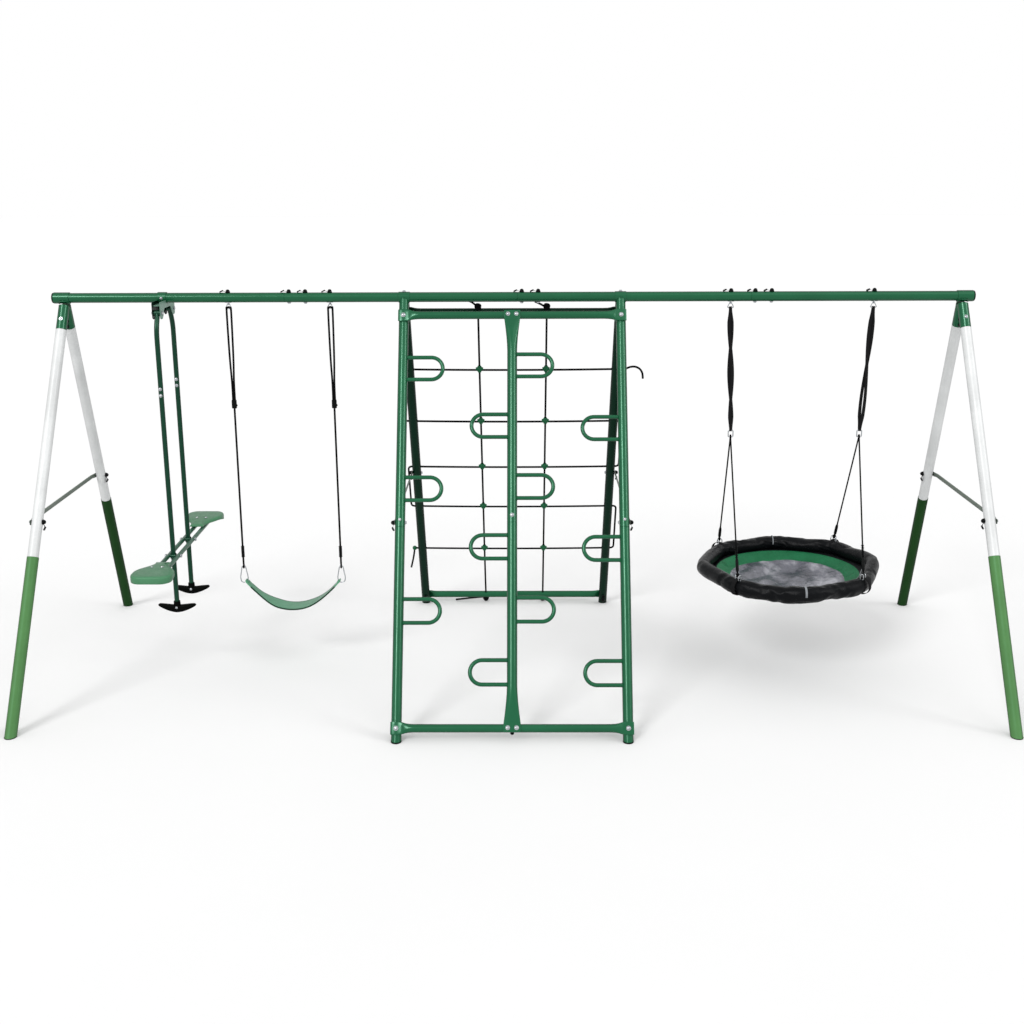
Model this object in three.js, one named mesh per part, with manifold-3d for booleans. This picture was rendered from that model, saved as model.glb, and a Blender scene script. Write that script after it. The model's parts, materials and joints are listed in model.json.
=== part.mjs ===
// A steel-framed garden swing set: a top beam on two A-frames, a double climbing frame under the middle of
// the beam, and three swings: a two-seat glider, a belt swing and a saucer swing.
// Millimetres, +Z up, +X along the beam, -Y to the front.
// The origin is on the ground under the beam's middle.
import * as THREE from "three";
import { mergeVertices } from "three/addons/utils/BufferGeometryUtils.js";
import Module from "manifold-3d";

const wasm = await Module();
wasm.setup();

// ---------------------------------------------------------------- driving dimensions
const GAP = 0.4; // air kept between neighbouring pieces
const BIG = 400; // an oversize length for cutting blocks

const BEAM = {
  height: 2000,
  radius: 25,
  bore: 23.2,
  halfLength: 2352,
  spigot: 150,
  seams: [-1165, 27, 1219],
};
const LEG = {
  apex: { x: 2297, z: 1979 }, // where the two leg axes of one end meet
  foot: { x: 2416, y: 959 }, // where a leg axis meets the ground
  topHeight: 1845, // lower edge of the corner bracket's stubs
  seamHeight: 788, // upper edge of the lower leg tube
  overlap: 100,
  upperRadius: 27,
  upperBore: 25.3,
  lowerRadius: 28.8,
  lowerBore: 27.4,
  footPlate: 5,
};
const CORNER = {
  sleeveRadius: 28.5,
  sleeveInner: 2268,
  stubRadius: 27,
  spigotRadius: 24.8,
  stubBore: 22.8,
  spigot: 90,
};
const LEG_BRACE = { height: 947, radius: 10, bore: 8.6, tabThickness: 5, tabLength: 46 };

const CLIMBER = {
  halfWidth: 553, // axis of the side uprights
  spread: 1010, // axis of an upright at the ground, in front of and behind the beam
  tubeRadius: 25,
  tubeBore: 23.3,
  spigotRadius: 22.9,
  spigotBore: 21.2,
  teeEnd: 143, // distances down the slanted frame, measured from the beam's axis
  seam: 1200,
  topRail: 107,
  bottomRail: 2178,
  rearBottomRail: 2194,
  overlap: 80,
  footPlate: 5,
};
const RAIL = { radius: 20, bore: 18.4, offset: 24, tabHeight: 62, tabThickness: 5, tabReach: 26 };
const CENTRE = { offset: 48, tabWidth: 84, taper: 78, seam: 1187 };
const LOOP = { radius: 10, height: 116, reach: 202 };
const LOOP_ROWS = [382, 695, 1005, 1306, 1614, 1915]; // loops step down the frame, left and right in turn
const SIDE_BRACE = { height: 950, width: 20, thickness: 3.2 };
const NET = {
  rope: 5.5,
  rows: [452, 802, 1130, 1432, 1771],
  columns: [-178, 178],
  columnOffset: 4,
  connector: 14,
  knot: 16,
  sideLoop: 46,
};

const GLIDER = {
  x: -1792,
  topPivot: { y: 115, z: 1935 },
  railPivot: { y: 155, z: 664 },
  shoulder: { y: 158, z: 1852 },
  joint: 1502, // seam between the upper and lower hanger tubes
  tubeRadius: 12.7,
  tubeBore: 10.9,
  bossRadius: 15,
  pinRadius: 6,
  pinHole: 6.4,
  looseHole: 10.2, // the rear rail pivot keeps this much room
  railSpacing: 26,
  railRadius: 11,
  railBore: 9.6,
  railHalfLength: 596,
  plateGap: 37,
  plateThickness: 3,
  plateHalfLength: 138,
};
const SEAT = {
  inner: 350,
  outer: 628,
  innerWidth: 92,
  outerWidth: 208,
  top: 700,
  thickness: 22,
  lipDepth: 28,
  lipDrop: 44,
};
const FOOTREST = { width: 200, top: 401, bottom: 351, depth: 38, socket: 368 };

const BELT = {
  x: -1195,
  hook: 261,
  ring: 264,
  seatHalf: 256,
  seatEnd: 481,
  seatLow: 330,
  thickness: 8,
  width: 124,
  endWidth: 54,
};
const BELT_ROPE = {
  rope: 5.2,
  eyeWire: 4,
  eye: 558,
  crimpTop: 668,
  crimpBottom: 612,
  adjuster: 1447,
  strandsMeet: 1560,
  top: 1955,
};
const HANGER = { apex: 1970.5, base: 1953, halfWidth: 14, wire: 2.2 };

const SAUCER = { x: 1482, radius: 457, rimHeight: 550, tube: 39, hook: 365, ring: 337, apex: 1268 };
const STRAP = { width: 24, thickness: 4, top: 1955 };
const MAT = { radius: 383, edge: 530, sag: 46, thickness: 5 };

// ---------------------------------------------------------------- finishes
const finish = (color, roughness, metalness) => new THREE.MeshStandardMaterial(
  { color, roughness, metalness },
);
const GREEN_STEEL = finish(0x1c6e3e, 0.3, 0.2);
const LEG_GREEN = finish(0x4e874e, 0.45, 0.1);
const WHITE_STEEL = finish(0xeeeeee, 0.35, 0.1);
const BRACE_GREEN = finish(0x4d6a58, 0.5, 0.1);
const GREEN_PLASTIC = finish(0x5aa073, 0.5, 0);
const BLACK_PLASTIC = finish(0x16161a, 0.55, 0);
const ZINC = finish(0xc4c8cc, 0.3, 0.9);
const ROPE = finish(0x17171a, 0.9, 0);
const WEBBING = finish(0x141416, 0.85, 0);
const COVER = finish(0x17181c, 0.6, 0);
const MAT_CLOTH = finish(0x8b8791, 0.55, 0);

// ---------------------------------------------------------------- helpers
const v3 = (x, y, z) => new THREE.Vector3(x, y, z);
const swings = new THREE.Group();
const frame = new THREE.Group();
const group = new THREE.Group();
group.add(frame, swings);

// A closed geometry as a manifold-3d solid.
function solidOf(geometry) {
  const plain = new THREE.BufferGeometry();
  const source = geometry.index ? geometry.toNonIndexed() : geometry;
  plain.setAttribute("position", source.getAttribute("position"));
  const merged = mergeVertices(plain, 1e-4);
  return new wasm.Manifold(
    new wasm.Mesh({
      numProp: 3,
      vertProperties: merged.attributes.position.array,
      triVerts: new Uint32Array(merged.index.array),
    }),
  );
}

function geometryOf(manifold) {
  const mesh = manifold.getMesh();
  const geometry = new THREE.BufferGeometry();
  geometry.setAttribute("position", new THREE.BufferAttribute(mesh.vertProperties, mesh.numProp));
  geometry.setIndex(new THREE.BufferAttribute(mesh.triVerts, 1));
  const faceted = geometry.toNonIndexed();
  faceted.computeVertexNormals();
  return faceted;
}

const joined = (...geometries) => geometryOf(geometries.map(solidOf).reduce((sum, next) => sum.add(next)));

function cut(geometry, ...tools) {
  return geometryOf(tools.map(solidOf).reduce((rest, tool) => rest.subtract(tool), solidOf(geometry)));
}

function addMesh(name, geometry, material, parent = frame) {
  const mesh = new THREE.Mesh(geometry, material);
  mesh.name = name;
  parent.add(mesh);
  return mesh;
}

// Turns a profile of [radius, distance] corners about the line from start towards end.
function turned(start, end, profile, sides = 16) {
  const closed = [...profile, profile[0]].map(([radius, along]) => new THREE.Vector2(radius, along));
  const onAxis = profile[0][0] === 0 && profile[profile.length - 1][0] === 0;
  const geometry = new THREE.LatheGeometry(onAxis ? closed.slice(0, -1) : closed, sides);
  const direction = end.clone().sub(start).normalize();
  const turn = new THREE.Quaternion().setFromUnitVectors(v3(0, 1, 0), direction);
  return geometry.applyQuaternion(turn).translate(start.x, start.y, start.z);
}

function rod(start, end, radius, sides = 16) {
  const length = start.distanceTo(end);
  return turned(start, end, [[0, 0], [radius, 0], [radius, length], [0, length]], sides);
}

function pipe(start, end, radius, bore, sides = 16) {
  const length = start.distanceTo(end);
  return turned(start, end, [[bore, 0], [radius, 0], [radius, length], [bore, length]], sides);
}

// A tube whose far end is swaged down to a spigot that slips into the next tube.
function swagedPipe(start, end, size, spigotLength, sides = 16) {
  const length = start.distanceTo(end);
  const profile = [
    [size.bore, 0],
    [size.radius, 0],
    [size.radius, length],
    [size.spigotRadius, length],
    [size.spigotRadius, length + spigotLength],
    [size.spigotBore, length + spigotLength],
    [size.spigotBore, length - 12],
    [size.bore, length - 24],
  ];
  return turned(start, end, profile, sides);
}

function block(centre, sizeX, sizeY, sizeZ) {
  return new THREE.BoxGeometry(sizeX, sizeY, sizeZ).translate(centre.x, centre.y, centre.z);
}

// A path that a section follows from station to station, so that bends get close stations and straights few.
class StationPath extends THREE.Curve {
  constructor(stations) {
    super();
    this.stations = stations;
  }
  getPoint(t) {
    const last = this.stations.length - 1;
    const index = Math.min(Math.floor(t * last), last - 1);
    return this.stations[index].clone().lerp(this.stations[index + 1], t * last - index);
  }
  getPointAt(u) {
    return this.getPoint(u);
  }
  getSpacedPoints() {
    return this.stations.map((station) => station.clone());
  }
  getTangentAt(u) {
    const last = this.stations.length - 1;
    const index = Math.round(u * last);
    const before = this.stations[Math.max(index - 1, 0)];
    const here = this.stations[index];
    const after = this.stations[Math.min(index + 1, last)];
    const arriving = here.clone().sub(before).normalize();
    const leaving = after.clone().sub(here).normalize();
    return arriving.add(leaving).normalize();
  }
}

// Stations along straight runs between corners, with each corner rounded to a radius.
function rounded(corners, radius, steps = 4) {
  const stations = [corners[0]];
  for (let i = 1; i < corners.length - 1; i++) {
    const before = corners[i - 1].clone().sub(corners[i]);
    const after = corners[i + 1].clone().sub(corners[i]);
    const reach = Math.min(radius, before.length() * 0.48, after.length() * 0.48);
    const start = corners[i].clone().addScaledVector(before.normalize(), reach);
    const end = corners[i].clone().addScaledVector(after.normalize(), reach);
    stations.push(...new THREE.QuadraticBezierCurve3(start, corners[i], end).getPoints(steps));
  }
  stations.push(corners[corners.length - 1]);
  return stations;
}

const roundSection = (radius, sides) => {
  const corners = Array.from({ length: sides }, (_, i) => {
    const angle = (2 * Math.PI * (i + 0.5)) / sides;
    return new THREE.Vector2(radius * Math.cos(angle), radius * Math.sin(angle));
  });
  return new THREE.Shape(corners);
};

function swept(stations, radius, sides = 8) {
  const path = new StationPath(stations);
  return new THREE.ExtrudeGeometry(roundSection(radius, sides), {
    steps: stations.length - 1,
    extrudePath: path,
    curveSegments: 1,
  });
}

// A closed wire or band: a ring about an axis through the centre.
function ring(centre, axis, radius, wire, sides = 12, wireSides = 6) {
  const turn = new THREE.Quaternion().setFromUnitVectors(v3(0, 0, 1), axis.clone().normalize());
  return new THREE.TorusGeometry(
    radius,
    wire,
    wireSides,
    sides,
  ).applyQuaternion(turn).translate(centre.x, centre.y, centre.z);
}

// A slab cut from an outline in the XZ plane, centred on y = 0.
function slabXZ(outline, depth) {
  const geometry = new THREE.ExtrudeGeometry(
    new THREE.Shape(outline),
    { depth, bevelEnabled: false, curveSegments: 8 },
  );
  return geometry.rotateX(Math.PI / 2).translate(0, depth / 2, 0);
}

// ---------------------------------------------------------------- beam
function beamSections() {
  const ends = [-BEAM.halfLength, ...BEAM.seams, BEAM.halfLength];
  const size = {
    radius: BEAM.radius,
    bore: BEAM.bore,
    spigotRadius: BEAM.bore - GAP,
    spigotBore: BEAM.bore - GAP - 1.8,
  };
  for (let i = 0; i < ends.length - 1; i++) {
    const start = v3(ends[i] + (i ? GAP : 0), 0, BEAM.height);
    const end = v3(ends[i + 1], 0, BEAM.height);
    const last = i === ends.length - 2;
    const tube = last ? pipe(start, end, BEAM.radius, BEAM.bore) : swagedPipe(start, end, size, BEAM.spigot);
    addMesh(`beam_section_${i + 1}`, tube, GREEN_STEEL);
  }
}

// ---------------------------------------------------------------- A-frames
const SIDES = [["left", -1], ["right", 1]];
const FRONT_REAR = [["front", -1], ["rear", 1]];

// The point of a leg's axis at a height; sideX and sideY pick the leg.
function legPoint(sideX, sideY, height) {
  const share = 1 - height / LEG.apex.z;
  return v3(sideX * (LEG.apex.x + (LEG.foot.x - LEG.apex.x) * share), sideY * LEG.foot.y * share, height);
}

function cornerBracket(name, side) {
  const inner = v3(side * CORNER.sleeveInner, 0, BEAM.height);
  const outer = v3(side * (BEAM.halfLength - 3), 0, BEAM.height);
  const stubs = [];
  const bores = [];
  for (const [, sideY] of FRONT_REAR) {
    const top = legPoint(side, sideY, LEG.apex.z - 2);
    const shoulder = legPoint(side, sideY, LEG.topHeight);
    const tip = shoulder.clone().addScaledVector(shoulder.clone().sub(top).normalize(), CORNER.spigot);
    const length = top.distanceTo(shoulder);
    const profile = [
      [0, 0],
      [CORNER.stubRadius, 0],
      [CORNER.stubRadius, length],
      [CORNER.spigotRadius, length],
      [CORNER.spigotRadius, length + CORNER.spigot],
      [0, length + CORNER.spigot],
    ];
    stubs.push(turned(top, tip, profile));
    bores.push(
      rod(
        legPoint(side, sideY, LEG.topHeight + 70),
        legPoint(side, sideY, LEG.topHeight - 120),
        CORNER.stubBore,
      ),
    );
  }
  const body = joined(rod(inner, outer, CORNER.sleeveRadius), ...stubs);
  const beamBore = rod(
    v3(side * (CORNER.sleeveInner - 60), 0, BEAM.height),
    v3(side * BIG * 6.5, 0, BEAM.height),
    BEAM.radius + GAP,
  );
  addMesh(`corner_bracket_${name}`, cut(body, beamBore, ...bores), GREEN_STEEL);
}

function legs(sideName, side) {
  const ground = (height, depth) => block(v3(0, 0, height - depth / 2), 6000, 4000, depth);
  for (const [rowName, row] of FRONT_REAR) {
    const at = (height) => legPoint(side, row, height);
    const along = at(0).clone().sub(at(LEG.apex.z)).normalize();
    const top = at(LEG.topHeight).addScaledVector(along, GAP);
    const bottom = at(LEG.seamHeight).addScaledVector(along, LEG.overlap);
    addMesh(
      `leg_upper_${rowName}_${sideName}`,
      pipe(top, bottom, LEG.upperRadius, LEG.upperBore),
      WHITE_STEEL,
    );

    const below = at(0).addScaledVector(along, 60);
    const outside = cut(rod(at(LEG.seamHeight), below, LEG.lowerRadius), ground(0, BIG));
    const inside = cut(rod(at(LEG.seamHeight + 20), below, LEG.lowerBore), ground(LEG.footPlate, BIG));
    addMesh(`leg_lower_${rowName}_${sideName}`, cut(outside, inside), LEG_GREEN);
  }
}

// A brace between the two legs of one end, on their outer faces, with its ends pressed flat under the bolts.
function legBrace(sideName, side) {
  const front = legPoint(side, -1, LEG_BRACE.height);
  const rear = legPoint(side, 1, LEG_BRACE.height);
  const x = front.x + side * (LEG.upperRadius + 3 * GAP + LEG_BRACE.tabThickness / 2);
  const tubeX = front.x + side * (LEG.upperRadius + 3 * GAP + LEG_BRACE.radius);
  const reach = Math.abs(front.y);
  const tube = pipe(
    v3(tubeX, front.y + 26, LEG_BRACE.height),
    v3(tubeX, rear.y - 26, LEG_BRACE.height),
    LEG_BRACE.radius,
    LEG_BRACE.bore,
    12,
  );
  const tab = (y) => block(v3(x, y, LEG_BRACE.height), LEG_BRACE.tabThickness, LEG_BRACE.tabLength, 24);
  addMesh(`leg_brace_${sideName}`, joined(tube, tab(-reach + 6), tab(reach - 6)), BRACE_GREEN);
}

// ---------------------------------------------------------------- climbing frame
const SLOPE = Math.hypot(BEAM.height, CLIMBER.spread);
const DOWN = { y: CLIMBER.spread / SLOPE, z: -BEAM.height / SLOPE };

// A point of the slanted front (row -1) or rear (row 1) frame: across in x, down from the beam, out along the
// frame's outward normal.
function onFrame(row, x, down, out = 0) {
  const y = row * (down * DOWN.y - out * DOWN.z);
  return v3(x, y, BEAM.height + down * DOWN.z + out * DOWN.y);
}

// A box lying in the slanted frame, centred at a point of it.
function frameBlock(row, x, down, out, width, length, thickness) {
  const centre = onFrame(row, x, down, out);
  const tilt = Math.atan2(row * DOWN.y, -DOWN.z);
  return new THREE.BoxGeometry(width, thickness, length).rotateX(tilt).translate(
    centre.x,
    centre.y,
    centre.z,
  );
}

function climberTee(sideName, side) {
  const x = side * CLIMBER.halfWidth;
  const sleeve = rod(v3(x - 29, 0, BEAM.height), v3(x + 29, 0, BEAM.height), BEAM.radius + GAP + 2.2);
  const parts = [];
  const bores = [];
  for (const [, row] of FRONT_REAR) {
    const start = onFrame(row, x, 12);
    const end = onFrame(row, x, CLIMBER.teeEnd + CLIMBER.overlap);
    const length = CLIMBER.teeEnd - 12;
    const profile = [
      [0, 0],
      [CLIMBER.tubeRadius, 0],
      [CLIMBER.tubeRadius, length],
      [CLIMBER.spigotRadius, length],
      [CLIMBER.spigotRadius, length + CLIMBER.overlap],
      [0, length + CLIMBER.overlap],
    ];
    parts.push(turned(start, end, profile));
    bores.push(
      rod(onFrame(row, x, 66), onFrame(row, x, CLIMBER.teeEnd + CLIMBER.overlap + 30), CLIMBER.spigotBore),
    );
  }
  const beamBore = rod(v3(x - 60, 0, BEAM.height), v3(x + 60, 0, BEAM.height), BEAM.radius + GAP);
  addMesh(`climber_tee_${sideName}`, cut(joined(sleeve, ...parts), beamBore, ...bores), GREEN_STEEL);
}

// A D-shaped step welded to an upright: out along x, round, and back.
function loopStations(row, x, down, out, side) {
  const half = LOOP.height / 2;
  const straight = LOOP.reach - half;
  const stations = [onFrame(row, x, down - half, out)];
  const turns = 8;
  for (let i = 0; i <= turns; i++) {
    const angle = -Math.PI / 2 + (Math.PI * i) / turns;
    stations.push(
      onFrame(row, x + side * (straight + half * Math.cos(angle)), down + half * Math.sin(angle), out),
    );
  }
  stations.push(onFrame(row, x, down + half, out));
  return stations;
}

// One tube of a front upright with its steps: a shell with the steps welded on before it is bored.
function frontUpright(name, x, out, top, bottom, hasSpigot, loops, extras, cutters) {
  const size = CLIMBER;
  const start = onFrame(-1, x, top, out);
  const end = onFrame(-1, x, bottom, out);
  const length = bottom - top;
  const outline = [[0, 0], [size.tubeRadius, 0], [size.tubeRadius, length], [0, length]];
  const neck = hasSpigot ? size.overlap : 0;
  const spigot = rod(onFrame(-1, x, top - neck, out), onFrame(-1, x, top + 30, out), size.spigotRadius);
  const steps = loops.map(([down, side]) => swept(loopStations(-1, x, down, out, side), LOOP.radius));
  const shell = joined(turned(start, end, outline), ...(hasSpigot ? [spigot] : []), ...steps, ...extras);
  const bore = hasSpigot
    ? joined(
        rod(onFrame(-1, x, top - neck - 20, out), onFrame(-1, x, top + 40, out), size.spigotBore),
        rod(onFrame(-1, x, top + 20, out), onFrame(-1, x, bottom + 60, out), size.tubeBore),
      )
    : rod(onFrame(-1, x, top - 20, out), onFrame(-1, x, bottom + 60, out), size.tubeBore);
  addMesh(name, cut(shell, ...cutters(bore)), GREEN_STEEL);
}

const groundBlock = (height) => block(v3(0, 0, height - BIG / 2), 6000, 4000, BIG);

function sideUprights(sideName, side) {
  const x = side * CLIMBER.halfWidth;
  const rows = side < 0 ? [
    LOOP_ROWS[0],
    LOOP_ROWS[2],
    LOOP_ROWS[4],
  ] : [LOOP_ROWS[1], LOOP_ROWS[3], LOOP_ROWS[5]];
  const steps = rows.map((down) => [down, -side]);
  const upper = steps.filter(([down]) => down < CLIMBER.seam);
  const lower = steps.filter(([down]) => down > CLIMBER.seam);
  const open = (bore) => [bore];
  const closedFoot = (bore) => [groundBlock(0), cut(bore, groundBlock(CLIMBER.footPlate))];
  frontUpright(
    `climber_upright_${sideName}_upper`,
    x,
    0,
    CLIMBER.teeEnd + GAP,
    CLIMBER.seam,
    false,
    upper,
    [],
    open,
  );
  frontUpright(
    `climber_upright_${sideName}_lower`,
    x,
    0,
    CLIMBER.seam + GAP,
    SLOPE + 40,
    true,
    lower,
    [],
    closedFoot,
  );
}

function centreUpright() {
  const out = CENTRE.offset;
  const steps = LOOP_ROWS.map((down, i) => [down, i % 2 ? -1 : 1]);
  const upper = steps.filter(([down]) => down < CENTRE.seam);
  const lower = steps.filter(([down]) => down > CENTRE.seam);
  const tabOut = RAIL.offset + RAIL.radius + GAP + RAIL.tabThickness / 2;
  const tab = (rail, towards) =>
    frameBlock(
      -1,
      0,
      rail + towards * (CENTRE.taper / 2 - 22),
      tabOut,
      CENTRE.tabWidth,
      CENTRE.taper,
      RAIL.tabThickness,
    );
  const clear = RAIL.radius + 9;
  const railClearance = (rail) =>
    rod(onFrame(-1, -90, rail, RAIL.offset), onFrame(-1, 90, rail, RAIL.offset), RAIL.radius + GAP);
  const open = (rail) => (bore) => [bore, railClearance(rail)];
  const top = CLIMBER.topRail + clear;
  const bottom = CLIMBER.bottomRail - clear;
  frontUpright(
    "climber_upright_center_upper",
    0,
    out,
    top,
    CENTRE.seam,
    false,
    upper,
    [tab(CLIMBER.topRail, 1)],
    open(CLIMBER.topRail),
  );
  frontUpright(
    "climber_upright_center_lower",
    0,
    out,
    CENTRE.seam + GAP,
    bottom,
    true,
    lower,
    [tab(CLIMBER.bottomRail, -1)],
    open(CLIMBER.bottomRail),
  );
}

// A rail between the side uprights, its ends pressed flat against their outer faces.
function rail(name, row, down) {
  const out = RAIL.offset;
  const reach = CLIMBER.halfWidth - CLIMBER.tubeRadius - 14;
  const tube = pipe(
    onFrame(row, -reach, down, out),
    onFrame(row, reach, down, out),
    RAIL.radius,
    RAIL.bore,
    12,
  );
  const tabOut = CLIMBER.tubeRadius + 2 * GAP + RAIL.tabThickness / 2;
  const tabEnd = CLIMBER.halfWidth + RAIL.tabReach;
  const tabStart = reach - 24;
  const tab = (side) =>
    frameBlock(
      row,
      (side * (tabStart + tabEnd)) / 2,
      down,
      tabOut,
      tabEnd - tabStart,
      RAIL.tabHeight,
      RAIL.tabThickness,
    );
  const holes = NET.columns.map(
    (x) => rod(onFrame(row, x, down - 40, out), onFrame(row, x, down + 40, out), NET.rope + 1, 8),
  );
  const body = joined(tube, tab(-1), tab(1));
  addMesh(name, row > 0 ? cut(body, ...holes) : body, GREEN_STEEL);
}

function rearUprights(sideName, side) {
  const x = side * CLIMBER.halfWidth;
  const start = onFrame(1, x, CLIMBER.teeEnd + GAP);
  const shell = cut(rod(start, onFrame(1, x, SLOPE + 40), CLIMBER.tubeRadius), groundBlock(0));
  const bore = cut(
    rod(onFrame(1, x, CLIMBER.teeEnd - 20), onFrame(1, x, SLOPE + 60), CLIMBER.tubeBore),
    groundBlock(CLIMBER.footPlate),
  );
  const holes = NET.rows.map(
    (down) => rod(onFrame(1, x - 40, down), onFrame(1, x + 40, down), NET.rope + 1, 8),
  );
  addMesh(`climber_rear_upright_${sideName}`, cut(shell, bore, ...holes), GREEN_STEEL);
}

function sideBrace(sideName, side) {
  const x = side * (CLIMBER.halfWidth + CLIMBER.tubeRadius + 2 * GAP + SIDE_BRACE.thickness / 2);
  const reach = (CLIMBER.spread * (BEAM.height - SIDE_BRACE.height)) / BEAM.height;
  const bar = block(v3(x, 0, SIDE_BRACE.height), SIDE_BRACE.thickness, 2 * reach + 20, SIDE_BRACE.width);
  addMesh(`climber_side_brace_${sideName}`, bar, BRACE_GREEN);
}

// The net: one rope runs to and fro through the rear uprights, and two run down through the rails; plastic
// crosses hold them together.
function climbingNet() {
  const at = (x, down, out = 0) => onFrame(1, x, down, out);
  const edge = CLIMBER.halfWidth + NET.sideLoop;
  const bend = 22;
  const first = NET.rows[0];
  const corners = [
    at(edge + 96, first + 52),
    at(edge + 84, first - 12),
    at(edge + 38, first - 14),
    at(edge + 4, first),
  ];
  NET.rows.forEach((down, i) => {
    const side = i % 2 ? 1 : -1;
    corners.push(at(side * edge, down));
    if (i < NET.rows.length - 1) corners.push(at(side * edge, NET.rows[i + 1]));
  });
  const last = NET.rows[NET.rows.length - 1];
  const serpent = swept(rounded(corners, bend, 3), NET.rope, 8);
  const knot = at(-edge, last);
  const pieces = [serpent, new THREE.IcosahedronGeometry(NET.knot, 0).translate(knot.x, knot.y, knot.z)];
  pieces.push(
    swept(
      [knot, v3(knot.x - 8, knot.y + 4, knot.z - 60), v3(knot.x - 22, knot.y + 6, knot.z - 128)],
      NET.rope,
      8,
    ),
  );
  for (const x of NET.columns) {
    const top = CLIMBER.topRail - RAIL.radius - 4;
    const bottom = CLIMBER.rearBottomRail + RAIL.radius + 4;
    const stations = [at(x, top, RAIL.offset), at(x, CLIMBER.topRail + 40, RAIL.offset)];
    NET.rows.forEach((down) => stations.push(at(x, down, NET.columnOffset)));
    stations.push(at(x, CLIMBER.rearBottomRail - 40, RAIL.offset), at(x, bottom, RAIL.offset));
    pieces.push(swept(stations, NET.rope, 8));
    for (const [down, away] of [[top, -1], [bottom, 1]]) {
      const centre = at(x, down + away * (NET.knot - 3), RAIL.offset);
      pieces.push(new THREE.IcosahedronGeometry(NET.knot, 0).translate(centre.x, centre.y, centre.z));
    }
    for (const down of NET.rows) {
      const centre = at(x, down, NET.columnOffset / 2);
      pieces.push(new THREE.IcosahedronGeometry(NET.connector, 0).translate(centre.x, centre.y, centre.z));
    }
  }
  addMesh("climbing_net", joined(...pieces), ROPE);
}

// ---------------------------------------------------------------- glider
function gliderBracket() {
  const x = GLIDER.x;
  const half = GLIDER.plateGap / 2;
  const top = BEAM.height - 12;
  const pivot = GLIDER.topPivot;
  const lobe = 22;
  const outline = new THREE.Shape();
  const lobeEdge = GLIDER.plateHalfLength;
  outline.moveTo(-lobeEdge, top - 12);
  outline.lineTo(-lobeEdge, pivot.z - lobe);
  outline.quadraticCurveTo(-lobeEdge + 4, pivot.z - lobe - 8, -lobeEdge + 16, pivot.z - lobe - 8);
  outline.lineTo(-pivot.y + lobe, pivot.z - lobe - 4);
  outline.quadraticCurveTo(-pivot.y + lobe + 14, pivot.z + 14, -50, pivot.z + 16);
  outline.lineTo(50, pivot.z + 16);
  outline.quadraticCurveTo(pivot.y - lobe - 14, pivot.z + 14, pivot.y - lobe, pivot.z - lobe - 4);
  outline.lineTo(lobeEdge - 16, pivot.z - lobe - 8);
  outline.quadraticCurveTo(lobeEdge - 4, pivot.z - lobe - 8, lobeEdge, pivot.z - lobe);
  outline.lineTo(lobeEdge, top - 12);
  outline.closePath();
  const plate = (side) => {
    const geometry = new THREE.ExtrudeGeometry(
      outline,
      { depth: GLIDER.plateThickness, bevelEnabled: false, curveSegments: 3 },
    );
    // The outline's x is the set's y and its y is the set's z.
    geometry.applyMatrix4(new THREE.Matrix4().set(0, 0, 1, 0, 1, 0, 0, 0, 0, 1, 0, 0, 0, 0, 0, 1));
    return geometry.translate(x + (side > 0 ? half : -half - GLIDER.plateThickness), 0, 0);
  };
  const clamp = rod(v3(x - half - 5, 0, BEAM.height), v3(x + half + 5, 0, BEAM.height), BEAM.radius + 5);
  const web = block(v3(x, 0, top - 14), GLIDER.plateGap + 2, 2 * lobeEdge - 24, 5);
  const beamBore = rod(v3(x - 60, 0, BEAM.height), v3(x + 60, 0, BEAM.height), BEAM.radius + GAP);
  const pins = FRONT_REAR.map(([, row]) =>
    rod(v3(x - 60, row * pivot.y, pivot.z), v3(x + 60, row * pivot.y, pivot.z), GLIDER.pinHole, 12),
  );
  addMesh("glider_bracket", cut(joined(clamp, plate(-1), plate(1), web), beamBore, ...pins), GREEN_STEEL);
}

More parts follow.
